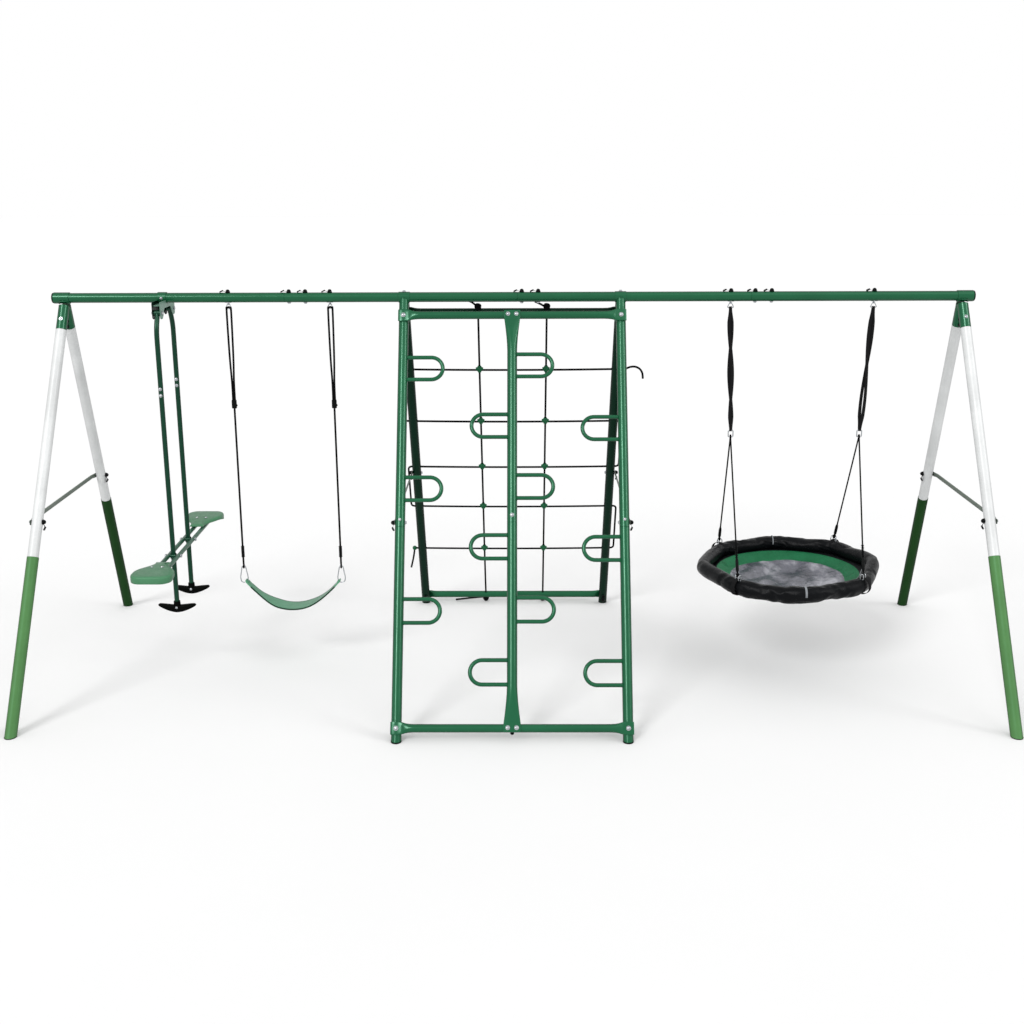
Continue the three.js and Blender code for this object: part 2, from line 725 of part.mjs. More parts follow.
function gliderHanger(rowName, row) {
  const x = GLIDER.x;
  const pivot = v3(x, row * GLIDER.topPivot.y, GLIDER.topPivot.z);
  const shoulder = v3(x, row * GLIDER.shoulder.y, GLIDER.shoulder.z);
  const rail = v3(x, row * GLIDER.railPivot.y, GLIDER.railPivot.z);
  const down = rail.clone().sub(shoulder).normalize();
  const atHeight = (z) => shoulder.clone().addScaledVector(down, (shoulder.z - z) / -down.z);
  const joint = atHeight(GLIDER.joint);
  const across = (centre, radius, half) => rod(
    v3(x - half, centre.y, centre.z),
    v3(x + half, centre.y, centre.z),
    radius,
    12,
  );
  const bossHalf = GLIDER.plateGap / 2 - 1;

  const neck = swept(rounded([pivot, shoulder, joint], 60, 4), GLIDER.tubeRadius, 12);
  const spigot = rod(atHeight(GLIDER.joint + 20), atHeight(GLIDER.joint - 70), GLIDER.tubeBore - GAP, 12);
  const upper = cut(
    joined(neck, spigot, across(pivot, GLIDER.bossRadius, bossHalf)),
    across(pivot, GLIDER.pinHole, BIG),
  );
  addMesh(`glider_upper_hanger_${rowName}`, upper, GREEN_STEEL, swings);

  const foot = atHeight(FOOTREST.socket);
  const lowerTop = atHeight(GLIDER.joint - GAP);
  const hole = row < 0 ? GLIDER.pinHole : GLIDER.looseHole;
  const railBossHalf = GLIDER.railSpacing - GLIDER.railRadius - 1.2;
  const lower = cut(
    joined(rod(lowerTop, foot, GLIDER.tubeRadius, 12), across(rail, GLIDER.bossRadius, railBossHalf)),
    rod(atHeight(GLIDER.joint + 10), atHeight(GLIDER.railPivot.z + 40), GLIDER.tubeBore, 12),
    rod(atHeight(GLIDER.railPivot.z - 40), atHeight(FOOTREST.socket - 20), GLIDER.tubeBore, 12),
    across(rail, hole, BIG),
  );
  addMesh(`glider_lower_hanger_${rowName}`, lower, GREEN_STEEL, swings);

  // A winged foot rest on the lower end of the hanger.
  const half = FOOTREST.width / 2;
  const outline = new THREE.Shape();
  outline.moveTo(-half, FOOTREST.top - 5);
  outline.quadraticCurveTo(-half * 0.5, FOOTREST.bottom + 3, 0, FOOTREST.bottom);
  outline.quadraticCurveTo(half * 0.5, FOOTREST.bottom + 3, half, FOOTREST.top - 5);
  outline.lineTo(half - 4, FOOTREST.top);
  outline.lineTo(18, FOOTREST.top - 10);
  outline.lineTo(-18, FOOTREST.top - 10);
  outline.lineTo(-half + 4, FOOTREST.top);
  outline.closePath();
  const wings = slabXZ(outline.getPoints(6), FOOTREST.depth).translate(x, foot.y, 0);
  const socket = rod(
    atHeight(FOOTREST.top + 20),
    atHeight(FOOTREST.socket - GAP),
    GLIDER.tubeRadius + GAP,
    12,
  );
  addMesh(`glider_footrest_${rowName}`, cut(wings, socket), BLACK_PLASTIC, swings);
}

// A pivot bolt along x with its head and nut.
function pivotBolt(name, centre, reach) {
  const start = v3(centre.x - reach - 7, centre.y, centre.z);
  const end = v3(centre.x + reach + 7, centre.y, centre.z);
  const length = 2 * reach + 14;
  const profile = [
    [0, 0],
    [9.5, 0],
    [9.5, 6.5],
    [GLIDER.pinRadius, 6.5],
    [GLIDER.pinRadius, length - 6.5],
    [9.5, length - 6.5],
    [9.5, length],
    [0, length],
  ];
  addMesh(name, turned(start, end, profile, 12), ZINC, swings);
}

function gliderRail(sideName, side) {
  const x = GLIDER.x + side * GLIDER.railSpacing;
  const z = GLIDER.railPivot.z;
  const tube = pipe(
    v3(x, -GLIDER.railHalfLength, z),
    v3(x, GLIDER.railHalfLength, z),
    GLIDER.railRadius,
    GLIDER.railBore,
    12,
  );
  const holes = FRONT_REAR.map(([, row]) =>
    rod(v3(x - 30, row * GLIDER.railPivot.y, z), v3(x + 30, row * GLIDER.railPivot.y, z), GLIDER.pinHole, 12),
  );
  addMesh(`glider_rail_${sideName}`, cut(tube, ...holes), GREEN_PLASTIC, swings);
}

// A saddle seat: narrow towards the hangers, wide with a thick lip at its outer end.
function gliderSeat(rowName, row) {
  const outline = new THREE.Shape();
  const inner = SEAT.innerWidth / 2;
  const outer = SEAT.outerWidth / 2;
  const run = SEAT.outer - SEAT.inner;
  outline.moveTo(-inner, 0);
  outline.bezierCurveTo(-inner, run * 0.4, -outer, run * 0.45, -outer, run - 14);
  outline.quadraticCurveTo(-outer, run, -outer + 14, run);
  outline.lineTo(outer - 14, run);
  outline.quadraticCurveTo(outer, run, outer, run - 14);
  outline.bezierCurveTo(outer, run * 0.45, inner, run * 0.4, inner, 0);
  outline.closePath();
  const top = new THREE.ExtrudeGeometry(
    outline,
    { depth: SEAT.thickness, bevelEnabled: false, curveSegments: 5 },
  );
  const lip = block(
    v3(0, run - SEAT.lipDepth / 2, SEAT.thickness - SEAT.lipDrop / 2),
    SEAT.outerWidth - 8,
    SEAT.lipDepth,
    SEAT.lipDrop,
  );
  const seat = joined(top, lip.translate(0, -0.6, -0.6));
  seat.rotateZ(row > 0 ? 0 : Math.PI).translate(GLIDER.x, row * SEAT.inner, SEAT.top - SEAT.thickness);
  addMesh(`glider_seat_${rowName}`, seat, GREEN_PLASTIC, swings);
}

function glider() {
  gliderBracket();
  const topReach = GLIDER.plateGap / 2 + GLIDER.plateThickness;
  const railReach = GLIDER.railSpacing + GLIDER.railRadius;
  for (const [rowName, row] of FRONT_REAR) {
    gliderHanger(rowName, row);
    gliderSeat(rowName, row);
    pivotBolt(
      `glider_top_pivot_bolt_${rowName}`,
      v3(GLIDER.x, row * GLIDER.topPivot.y, GLIDER.topPivot.z),
      topReach,
    );
    pivotBolt(
      `glider_rail_pivot_bolt_${rowName}`,
      v3(GLIDER.x, row * GLIDER.railPivot.y, GLIDER.railPivot.z),
      railReach,
    );
  }
  for (const [sideName, side] of SIDES) gliderRail(sideName, side);
}

// ---------------------------------------------------------------- hanging hardware shared by two swings
// The triangular wire that hangs a swing under the beam; its base carries the rope or strap.
function hangerTriangle(x) {
  const corners = [
    v3(x - HANGER.halfWidth, 0, HANGER.base),
    v3(x, 0, HANGER.apex + 4),
    v3(x + HANGER.halfWidth, 0, HANGER.base),
  ];
  const legsOfWire = swept(rounded(corners, 7, 3), HANGER.wire, 6);
  const base = rod(
    v3(x - HANGER.halfWidth - 1.5, 0, HANGER.base),
    v3(x + HANGER.halfWidth + 1.5, 0, HANGER.base),
    HANGER.wire,
    6,
  );
  return [legsOfWire, base];
}

// ---------------------------------------------------------------- belt swing
function beltRope(sideName, side) {
  const topX = BELT.x + side * BELT.hook;
  const bottomX = BELT.x + side * BELT.ring;
  const leanAt = (z) => bottomX + ((topX - bottomX) * (z - BELT_ROPE.eye)) / (BELT_ROPE.top - BELT_ROPE.eye);
  const rope = BELT_ROPE.rope;
  const strand = (dx, z) => v3(leanAt(z) + dx, 0, z);
  const loop = [
    strand(-rope, BELT_ROPE.adjuster),
    strand(-rope, BELT_ROPE.strandsMeet),
    strand(-11, BELT_ROPE.top - 20),
    strand(-8, BELT_ROPE.top - 4),
    strand(0, BELT_ROPE.top + 1),
    strand(8, BELT_ROPE.top - 4),
    strand(11, BELT_ROPE.top - 20),
    strand(rope, BELT_ROPE.strandsMeet),
    strand(rope, BELT_ROPE.adjuster),
  ];
  const adjuster = block(strand(0, BELT_ROPE.adjuster), 24, 16, 44);
  const crimp = rod(strand(0, BELT_ROPE.crimpBottom), strand(0, BELT_ROPE.crimpTop), 8.5, 8);
  const single = rod(strand(0, BELT_ROPE.eye + 11), strand(0, BELT_ROPE.adjuster), rope, 8);
  const eye = ring(v3(bottomX, 0, BELT_ROPE.eye), v3(1, 0, 0), 9, BELT_ROPE.eyeWire, 10);
  const pieces = [swept(loop, rope, 8), adjuster, crimp, single, eye, ...hangerTriangle(topX)];
  addMesh(`belt_rope_${sideName}`, joined(...pieces), ROPE, swings);
}

// The pear-shaped ring that carries the seat: a short bar on top, splayed sides, a round bottom.
function beltRing(sideName, side) {
  const x = BELT.x + side * BELT.ring;
  const top = BELT_ROPE.eye;
  const corners = [
    v3(x, 0, top),
    v3(x - 9, 0, top),
    v3(x - 21, 0, top - 64),
    v3(x - 17, 0, top - 88),
    v3(x, 0, top - 94),
    v3(x + 17, 0, top - 88),
    v3(x + 21, 0, top - 64),
    v3(x + 9, 0, top),
    v3(x, 0, top),
  ];
  const stations = rounded(corners, 6, 2);
  const half = Math.floor(stations.length / 2);
  // Two open halves that overlap at their ends make the closed ring.
  const first = swept(stations.slice(0, half + 1), 2.6, 6);
  const second = swept(stations.slice(half), 2.6, 6);
  const bead = (centre) => new THREE.IcosahedronGeometry(2.9, 0).translate(centre.x, centre.y, centre.z);
  addMesh(
    `belt_ring_${sideName}`,
    joined(first, second, bead(stations[0]), bead(stations[half])),
    ZINC,
    swings,
  );
}

// The belt hangs as a curve between the two rings and narrows to a tab at each end.
function beltSeat() {
  const rise = BELT.seatEnd - BELT.seatLow;
  const sagAt = (x) => BELT.seatLow + rise * Math.pow(Math.abs(x) / BELT.seatHalf, 2.1);
  const stations = 16;
  const upper = [];
  const lower = [];
  for (let i = 0; i <= stations; i++) {
    const x = BELT.seatHalf * (-1 + (2 * i) / stations);
    const slope = (sagAt(x + 1) - sagAt(x - 1)) / 2;
    const length = Math.hypot(1, slope);
    const half = BELT.thickness / 2;
    upper.push(new THREE.Vector2(x - (half * slope) / length, sagAt(x) + half / length));
    lower.push(new THREE.Vector2(x + (half * slope) / length, sagAt(x) - half / length));
  }
  const band = slabXZ([...upper, ...lower.reverse()], BELT.width);
  const plan = new THREE.Shape();
  const reach = BELT.seatHalf + 20;
  const w = BELT.width / 2;
  const e = BELT.endWidth / 2;
  plan.moveTo(-reach, -e);
  plan.lineTo(-212, -e);
  plan.bezierCurveTo(-170, -w, -110, -w, -60, -w);
  plan.lineTo(60, -w);
  plan.bezierCurveTo(110, -w, 170, -w, 212, -e);
  plan.lineTo(reach, -e);
  plan.lineTo(reach, e);
  plan.lineTo(212, e);
  plan.bezierCurveTo(170, w, 110, w, 60, w);
  plan.lineTo(-60, w);
  plan.bezierCurveTo(-110, w, -170, w, -212, e);
  plan.lineTo(-reach, e);
  plan.closePath();
  const column = new THREE.ExtrudeGeometry(
    plan,
    { depth: 300, bevelEnabled: false, curveSegments: 4 },
  ).translate(0, 0, 260);
  const holes = SIDES.map(([, side]) => {
    const x = side * (BELT.ring - 17);
    const slope = (sagAt(x + 1) - sagAt(x - 1)) / 2;
    const normal = v3(-slope, 0, 1).normalize();
    const centre = v3(x, 0, sagAt(x));
    const from = centre.clone().addScaledVector(normal, -14);
    const to = centre.clone().addScaledVector(normal, 14);
    return rod(from, to, 7.5, 10);
  });
  const seat = geometryOf(solidOf(band).intersect(solidOf(column)));
  addMesh("belt_seat", cut(seat, ...holes).translate(BELT.x, 0, 0), GREEN_PLASTIC, swings);
}

// ---------------------------------------------------------------- saucer swing
// The saucer's four rope points lie at the rim's diagonal corners.
function saucerCorner(side, row) {
  const reach = SAUCER.radius * Math.SQRT1_2;
  return v3(SAUCER.x + side * reach, row * reach, SAUCER.rimHeight);
}

function saucerStrap(sideName, side) {
  const topX = SAUCER.x + side * SAUCER.hook;
  const bottomX = SAUCER.x + side * SAUCER.ring;
  const top = v3(topX, 0, STRAP.top + 3);
  const bottom = v3(bottomX, 0, SAUCER.apex + 30);
  const length = top.distanceTo(bottom);
  const lean = Math.atan2(topX - bottomX, top.z - bottom.z);
  const middle = top.clone().lerp(bottom, 0.5);
  const band = new THREE.BoxGeometry(
    STRAP.width,
    STRAP.thickness,
    length,
  ).rotateY(lean).translate(middle.x, middle.y, middle.z);
  const corners = [
    v3(bottomX, 0, SAUCER.apex + 34),
    v3(bottomX - 17, 0, SAUCER.apex + 34),
    v3(bottomX - 17, 0, SAUCER.apex),
    v3(bottomX + 17, 0, SAUCER.apex),
    v3(bottomX + 17, 0, SAUCER.apex + 34),
    v3(bottomX, 0, SAUCER.apex + 34),
  ];
  const stations = rounded(corners, 6, 2);
  const half = Math.floor(stations.length / 2);
  const link = [swept(stations.slice(0, half + 1), 2.6, 6), swept(stations.slice(half), 2.6, 6)];
  const bead = (centre) => new THREE.IcosahedronGeometry(2.9, 0).translate(centre.x, centre.y, centre.z);
  addMesh(
    `saucer_strap_${sideName}`,
    joined(band, ...link, bead(stations[0]), bead(stations[half]), ...hangerTriangle(topX)),
    WEBBING,
    swings,
  );
}

function saucerRope(sideName, side) {
  const apex = v3(SAUCER.x + side * SAUCER.ring, 0, SAUCER.apex);
  const eye = ring(apex, v3(1, 0, 0), 9, 4, 10);
  const pieces = [eye];
  for (const [, row] of FRONT_REAR) {
    const corner = saucerCorner(side, row);
    const tangent = v3(-row, side, 0).normalize();
    const bandRadius = SAUCER.tube + 4.4;
    const top = corner.clone().add(v3(0, 0, bandRadius));
    const start = apex.clone().add(v3(0, row * 6, -8));
    const crimpStart = top.clone().lerp(start, 0.045);
    const crimpEnd = top.clone().lerp(start, 0.14);
    pieces.push(rod(start, top, 4, 8), rod(crimpStart, crimpEnd, 8, 8));
    const outer = bandRadius + 2.6;
    const span = corner.clone().addScaledVector(tangent, 9);
    const back = corner.clone().addScaledVector(tangent, -9);
    pieces.push(pipe(back, span, outer, bandRadius, 16));
  }
  addMesh(`saucer_rope_${sideName}`, joined(...pieces), ROPE, swings);
}

function saucerRim() {
  const sides = 12;
  const profile = Array.from({ length: sides + 1 }, (_, i) => {
    const angle = (2 * Math.PI * (i % sides)) / sides;
    return new THREE.Vector2(SAUCER.radius + SAUCER.tube * Math.cos(angle), SAUCER.tube * Math.sin(angle));
  });
  const tube = new THREE.LatheGeometry(profile, 8).rotateX(Math.PI / 2);
  addMesh("saucer_rim", tube.translate(SAUCER.x, 0, SAUCER.rimHeight), COVER, swings);
}

function saucerMat() {
  const profile = [];
  const rings = 4;
  const heightAt = (radius) => MAT.edge - MAT.sag * (1 - Math.pow(radius / MAT.radius, 2));
  for (let i = 0; i <= rings; i++) {
    const radius = (MAT.radius * i) / rings;
    profile.push([radius, heightAt(radius) - MAT.thickness]);
  }
  for (let i = rings; i >= 0; i--) {
    const radius = (MAT.radius * i) / rings;
    profile.push([radius, heightAt(radius)]);
  }
  const start = v3(SAUCER.x, 0, 0);
  addMesh("saucer_mat", turned(start, v3(SAUCER.x, 0, 1), profile, 24), MAT_CLOTH, swings);
}

// ---------------------------------------------------------------- assembly
beamSections();
for (const [sideName, side] of SIDES) {
  cornerBracket(sideName, side);
  legs(sideName, side);
  legBrace(sideName, side);
  climberTee(sideName, side);
  sideUprights(sideName, side);
  rearUprights(sideName, side);
  sideBrace(sideName, side);
  beltRope(sideName, side);
  beltRing(sideName, side);
  saucerStrap(sideName, side);
  saucerRope(sideName, side);
}
centreUpright();
rail("climber_front_top_rail", -1, CLIMBER.topRail);
rail("climber_front_bottom_rail", -1, CLIMBER.bottomRail);
rail("climber_rear_top_rail", 1, CLIMBER.topRail);
rail("climber_rear_bottom_rail", 1, CLIMBER.rearBottomRail);
climbingNet();
glider();
beltSeat();
saucerRim();
saucerMat();

export default group;
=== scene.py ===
"""A garden swing set: beam, A-frames, climbing frame with net, glider, belt swing and saucer swing.

Metres, +Z up, +X along the beam, -Y to the front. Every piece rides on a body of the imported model.
"""
import json
import math

import bmesh
import bpy
from mathutils import Matrix, Vector, noise


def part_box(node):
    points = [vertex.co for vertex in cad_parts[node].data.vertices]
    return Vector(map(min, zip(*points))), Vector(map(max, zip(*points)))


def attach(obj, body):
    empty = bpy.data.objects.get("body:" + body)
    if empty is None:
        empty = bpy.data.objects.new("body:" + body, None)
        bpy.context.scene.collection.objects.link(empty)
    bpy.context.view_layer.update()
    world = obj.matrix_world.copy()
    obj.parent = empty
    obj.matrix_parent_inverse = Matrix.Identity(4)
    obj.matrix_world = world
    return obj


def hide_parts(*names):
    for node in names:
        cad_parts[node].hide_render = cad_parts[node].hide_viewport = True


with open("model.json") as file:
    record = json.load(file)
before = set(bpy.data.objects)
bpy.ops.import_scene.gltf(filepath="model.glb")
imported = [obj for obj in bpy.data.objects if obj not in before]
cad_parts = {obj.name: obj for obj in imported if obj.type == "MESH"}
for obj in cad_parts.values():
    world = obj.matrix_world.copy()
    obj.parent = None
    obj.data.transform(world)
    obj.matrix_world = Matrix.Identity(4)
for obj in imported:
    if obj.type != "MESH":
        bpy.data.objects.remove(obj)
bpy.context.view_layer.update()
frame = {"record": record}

X_AXIS, Y_AXIS, Z_AXIS = Vector((1, 0, 0)), Vector((0, 1, 0)), Vector((0, 0, 1))
SIDES = (("left", -1), ("right", 1))
ROWS = (("front", -1), ("rear", 1))


# ---------------------------------------------------------------- places taken from the frame
def middle(node):
    low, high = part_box(node)
    return (Vector(low) + Vector(high)) / 2


def extent(node):
    low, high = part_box(node)
    return Vector(high) - Vector(low)


joint_at = {joint["name"]: Vector(joint["pos_m"]) for joint in frame["record"]["behaviour"]["joints"]}

BEAM_Z = middle("beam_section_4").z
BEAM_R = extent("beam_section_4").z / 2
BEAM_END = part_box("beam_section_4")[1][0]
SEAMS = [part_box(f"beam_section_{i}")[0][0] for i in (2, 3, 4)]

LEG_APEX = Vector((2.297, 0, 1.979))
LEG_FOOT = Vector((2.416, 0.959, 0))
LEG_TOP = 1.845
LEG_SEAM = 0.788
LEG_UPPER_R = 0.027
LEG_LOWER_R = 0.0288
LEG_BRACE_Z = middle("leg_brace_left").z
LEG_BRACE_R = 0.010

CLIMBER_X = middle("climber_tee_right").x
CLIMBER_SPREAD = 1.010
CLIMBER_R = 0.025
TEE_END = 0.143
UPRIGHT_SEAM = 1.200
TOP_RAIL = 0.107
BOTTOM_RAIL = 2.178
REAR_BOTTOM_RAIL = 2.194
RAIL_R = 0.020
RAIL_OUT = 0.024
CENTRE_OUT = 0.048
CENTRE_SEAM = 1.187
LOOP_R = 0.010
LOOP_HALF = 0.058
LOOP_REACH = 0.202
LOOP_ROWS = (0.382, 0.695, 1.005, 1.306, 1.614, 1.915)
SIDE_BRACE_Z = middle("climber_side_brace_left").z

NET_ROWS = (0.452, 0.802, 1.130, 1.432, 1.771)
NET_COLUMNS = (-0.178, 0.178)
NET_R = 0.0055
NET_KNOT_R = 0.017
NET_TURN = 0.046  # how far past an upright's axis the rope turns back
BELT_ROPE_R = 0.0052

GLIDER_X = middle("glider_rail_left").x / 2 + middle("glider_rail_right").x / 2
GLIDER_TOP = joint_at["glider_rear_swing"]
GLIDER_RAIL = Vector((GLIDER_X, -joint_at["glider_seat_pivot"].y, joint_at["glider_seat_pivot"].z))
HANGER_R = 0.0127
HANGER_SEAM = 1.502
HANGER_SHOULDER = (0.158, 1.852)
RAIL_TUBE_R = extent("glider_rail_left").x / 2

BELT_X = middle("belt_seat").x
BELT_HOOK = 0.261
BELT_RING = 0.264
BELT_EYE = joint_at["belt_tilt"].z
HOOK_Z = joint_at["belt_swing"].z
RING_BASE = HOOK_Z - 0.0275
RING_WIRE = 0.0024

SAUCER = middle("saucer_rim")
SAUCER_HOOK = 0.365
SAUCER_RING = 0.337
SAUCER_APEX = joint_at["saucer_tilt"].z
RIM_TUBE = extent("saucer_rim").z / 2
RIM_RADIUS = extent("saucer_rim").x / 2 - RIM_TUBE
MAT_RADIUS = extent("saucer_mat").x / 2
MAT_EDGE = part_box("saucer_mat")[1][2]
SAUCER_ROPE_R = 0.0040
RIM_BANDS = (45, 135, 225, 315)  # degrees round the rim where the ropes' bands grip it
RIM_GRIPS = (*RIM_BANDS, 90, 270)  # the bands and the two seams

BEAM_WALL = 0.0018
TUBE_WALL = 0.0017
SLIT = 0.0006  # the gap left where one piece ends against another
ROPE_STEP = 0.012  # the length of a rope's straight bits

CAMERA_PLACE = (0.046, -6.618, 2.660)
CAMERA_YAW, CAMERA_PITCH, CAMERA_ROLL = -0.0077, 0.2656, -0.0033
CAMERA_LENS = 45.09


# ---------------------------------------------------------------- camera
def make_camera():
    yaw, pitch, roll = CAMERA_YAW, CAMERA_PITCH, CAMERA_ROLL
    forward = Vector((math.sin(yaw) * math.cos(pitch), math.cos(yaw) * math.cos(pitch), -math.sin(pitch)))
    right = Vector((math.cos(yaw), -math.sin(yaw), 0))
    up = right.cross(forward)
    across = right * math.cos(roll) + up * math.sin(roll)
    top = up * math.cos(roll) - right * math.sin(roll)
    data = bpy.data.cameras.new("camera")
    data.sensor_width = 36
    data.lens = CAMERA_LENS
    data.clip_end = 200
    camera = bpy.data.objects.new("camera", data)
    rotation = Matrix((across, top, -forward)).transposed().to_4x4()
    camera.matrix_world = Matrix.Translation(CAMERA_PLACE) @ rotation
    bpy.context.scene.collection.objects.link(camera)
    bpy.context.scene.camera = camera


make_camera()


# ---------------------------------------------------------------- surfaces
def square_to(direction):
    """Two unit vectors square to a direction and to each other."""
    direction = direction.normalized()
    helper = Z_AXIS if abs(direction.z) < 0.9 else X_AXIS
    side = direction.cross(helper).normalized()
    return side, direction.cross(side).normalized()


class Shape:
    """The points, faces and texture places of one piece, gathered from simple surfaces."""

    def __init__(self):
        self.points = []
        self.faces = []
        self.uvs = []

    def rows(self, rows, along=False, caps=(False, False)):
        """A surface over closed rows of points; along joins the last row to the first."""
        first = len(self.points)
        count = len(rows[0])
        centres = [sum(row, Vector()) / count for row in rows]
        lengths = [0.0]
        for before, after in zip(rows, rows[1:]):
            lengths.append(lengths[-1] + (after[0] - before[0]).length)
        if along:
            lengths.append(lengths[-1] + (rows[0][0] - rows[-1][0]).length)
        for row in rows:
            self.points.extend(row)
        last_row = len(rows) if along else len(rows) - 1
        for i in range(last_row):
            for j in range(count):
                below, right = (i + 1) % len(rows), (j + 1) % count
                self.faces.append(
                    (
                        first + i * count + j, first + i * count + right,
                        first + below * count + right, first + below * count + j
                    )
                )
                near, far = j / count, (j + 1) / count
                u, v = lengths[i], lengths[i + 1]
                self.uvs.append(((u, near), (u, far), (v, far), (v, near)))
        for wanted, row, centre, reverse in (
            (caps[0], 0, centres[0], True), (caps[1], len(rows) - 1, centres[-1], False)
        ):
            if wanted:
                self.fan(first + row * count, count, centre, reverse, lengths[row])
        return self

    def fan(self, first, count, centre, reverse, length):
        middle_point = len(self.points)
        self.points.append(centre)
        for j in range(count):
            corner, following = first + j, first + (j + 1) % count
            face = (following, corner, middle_point) if reverse else (corner, following, middle_point)
            self.faces.append(face)
            self.uvs.append(((length, 0), (length, 0.1), (length, 0.05)))

    def turned(self, start, direction, profile, sides=40, along=False):
        """Turns (radius, distance) corners about a line; corners on the line close the end."""
        side, up = square_to(direction)
        direction = direction.normalized()
        rows = []
        for radius, distance in profile:
            if radius <= 0:
                continue
            centre = start + direction * distance
            rows.append(circle(centre, side, up, radius, sides))
        caps = (profile[0][0] <= 0, profile[-1][0] <= 0)
        self.rows(rows, along=along, caps=caps)
        return self

    def pipe(self, start, end, radius, bore, sides=40, edge=0.0006):
        """An open-ended tube with slightly rounded edges."""
        length = (end - start).length
        profile = [
            (bore, 0),
            (radius - edge, 0),
            (radius, edge),
            (radius, length - edge),
            (radius - edge, length),
            (bore, length),
        ]
        return self.turned(start, end - start, profile, sides, along=True)

    def rod(self, start, end, radius, sides=24, edge=0.0004):
        length = (end - start).length
        edge = min(edge, radius * 0.3, length * 0.3)
        profile = [
            (0, 0), (radius - edge, 0), (radius, edge), (radius, length - edge),
            (radius - edge, length), (0, length)
        ]
        return self.turned(start, end - start, profile, sides)

    def tube(self, path, radius, sides=24, closed=False):
        """A round section carried along a path without twisting."""
        rows = [
            [centre + side * (math.cos(a) * radius) + up * (math.sin(a) * radius) for a in angles(sides)]
            for centre, side, up in carried(path, closed)
        ]
        return self.rows(rows, along=closed, caps=(not closed, not closed))

    def loft(self, sections):
        """Joins sections given as (centre, across, out, half width, half depth, squareness)."""
        rows = []
        for centre, across, out, half_width, half_depth, power in sections:
            rows.append(
                [
                    centre
                    + across * (half_width * rounded_power(math.cos(a), 2 / power))
                    + out * (half_depth * rounded_power(math.sin(a), 2 / power))
                    for a in angles(40)
                ]
            )
        return self.rows(rows, caps=(True, True))

    def slab(self, outline, origin, across, up, thickness, edge=0.0006):
        """A plate cut to an outline of (across, up) corners, centred on its origin, with eased edges."""
        normal = across.cross(up).normalized()
        inner = inset(outline, edge)
        levels = (
            (inner, -thickness / 2), (outline, -thickness / 2 + edge),
            (outline, thickness / 2 - edge), (inner, thickness / 2)
        )
        rows = [
            [origin + across * a + up * b + normal * level for a, b in corners]
            for corners, level in levels
        ]
        first = len(self.points)
        self.rows(rows)
        count = len(outline)
        last = first + 3 * count
        self.faces.append(tuple(range(first + count - 1, first - 1, -1)))
        self.faces.append(tuple(range(last, last + count)))
        for corners in (list(reversed(inner)), inner):
            self.uvs.append(tuple(corners))
        return self

    def ring(self, centre, axis, radius, wire, sides=32, wire_sides=14):
        side, up = square_to(axis)
        path = circle(centre, side, up, radius, sides)
        return self.tube(path, wire, wire_sides, closed=True)

    def ball(self, centre, radius, squash=1.0, axis=Z_AXIS, rings=10, sides=20):
        profile = []
        for i in range(rings + 1):
            angle = math.pi * i / rings
            profile.append(
                (
                    radius * math.sin(angle) if 0 < i < rings else 0,
                    -radius * squash * math.cos(angle)
                )
            )
        return self.turned(centre, axis, profile, sides)

    def weld(self, start, direction, radius, axis_point, axis, big_radius, bead=0.0018):
        """A weld bead where a tube leaves a bigger one."""
        side, up = square_to(direction)
        direction, axis = direction.normalized(), axis.normalized()
        path = []
        for point in circle(start, side, up, radius, 36):
            offset = point - axis_point
            offset -= axis * offset.dot(axis)
            step = direction - axis * direction.dot(axis)
            half, rest = offset.dot(step), offset.length_squared - big_radius**2
            root = max(half * half - step.length_squared * rest, 0)
            reach = (-half + math.sqrt(root)) / step.length_squared
            path.append(point + direction * reach)
        return self.tube(path, bead, 8, closed=True)


def circle(centre, side, up, radius, count):
    """Points round a centre in the plane of two directions."""
    return [centre + (side * math.cos(a) + up * math.sin(a)) * radius for a in angles(count)]


def angles(count):
    return [2 * math.pi * (i + 0.5) / count for i in range(count)]


def rounded_power(value, power):
    return math.copysign(abs(value) ** power, value)


def smooth(t):
    t = min(max(t, 0), 1)
    return t * t * (3 - 2 * t)


def inset(outline, amount):
    """An outline's corners moved inwards; the corners run anticlockwise."""
    result = []
    count = len(outline)
    for i, corner in enumerate(outline):
        before, after = Vector(outline[i - 1]), Vector(outline[(i + 1) % count])
        here = Vector(corner)
        into, away = (here - before).normalized(), (after - here).normalized()
        normal = Vector((-into.y - away.y, into.x + away.x))
        normal = normal.normalized() if normal.length > 1e-9 else Vector((-into.y, into.x))
        result.append(tuple(here + normal * amount))
    return result


def rounded_box(half_width, half_depth, radius, steps=4):
    outline = []
    for turn, (sx, sy) in enumerate(((1, -1), (1, 1), (-1, 1), (-1, -1))):
        for i in range(steps + 1):
            angle = math.pi / 2 * (turn - 1 + i / steps)
            x = sx * (half_width - radius) + radius * math.cos(angle)
            outline.append((x, sy * (half_depth - radius) + radius * math.sin(angle)))
    return outline


def carried(path, closed=False):
    """Each point of a path with two directions square to it, carried along without twisting."""
    count = len(path)
    tangents = []
    for i in range(count):
        before = path[i - 1] if closed or i else path[i]
        after = path[(i + 1) % count] if closed or i < count - 1 else path[i]
        tangents.append((after - before).normalized())
    side, up = square_to(tangents[0])
    frames = []
    for point, tangent in zip(path, tangents):
        side = (side - tangent * side.dot(tangent)).normalized()
        up = tangent.cross(side)
        frames.append((point, side, up))
    return frames


def bend(start, corner, end, t):
    """A point on the curve that leaves start towards corner and arrives at end."""
    return start * (1 - t) ** 2 + corner * (2 * t * (1 - t)) + end * t * t


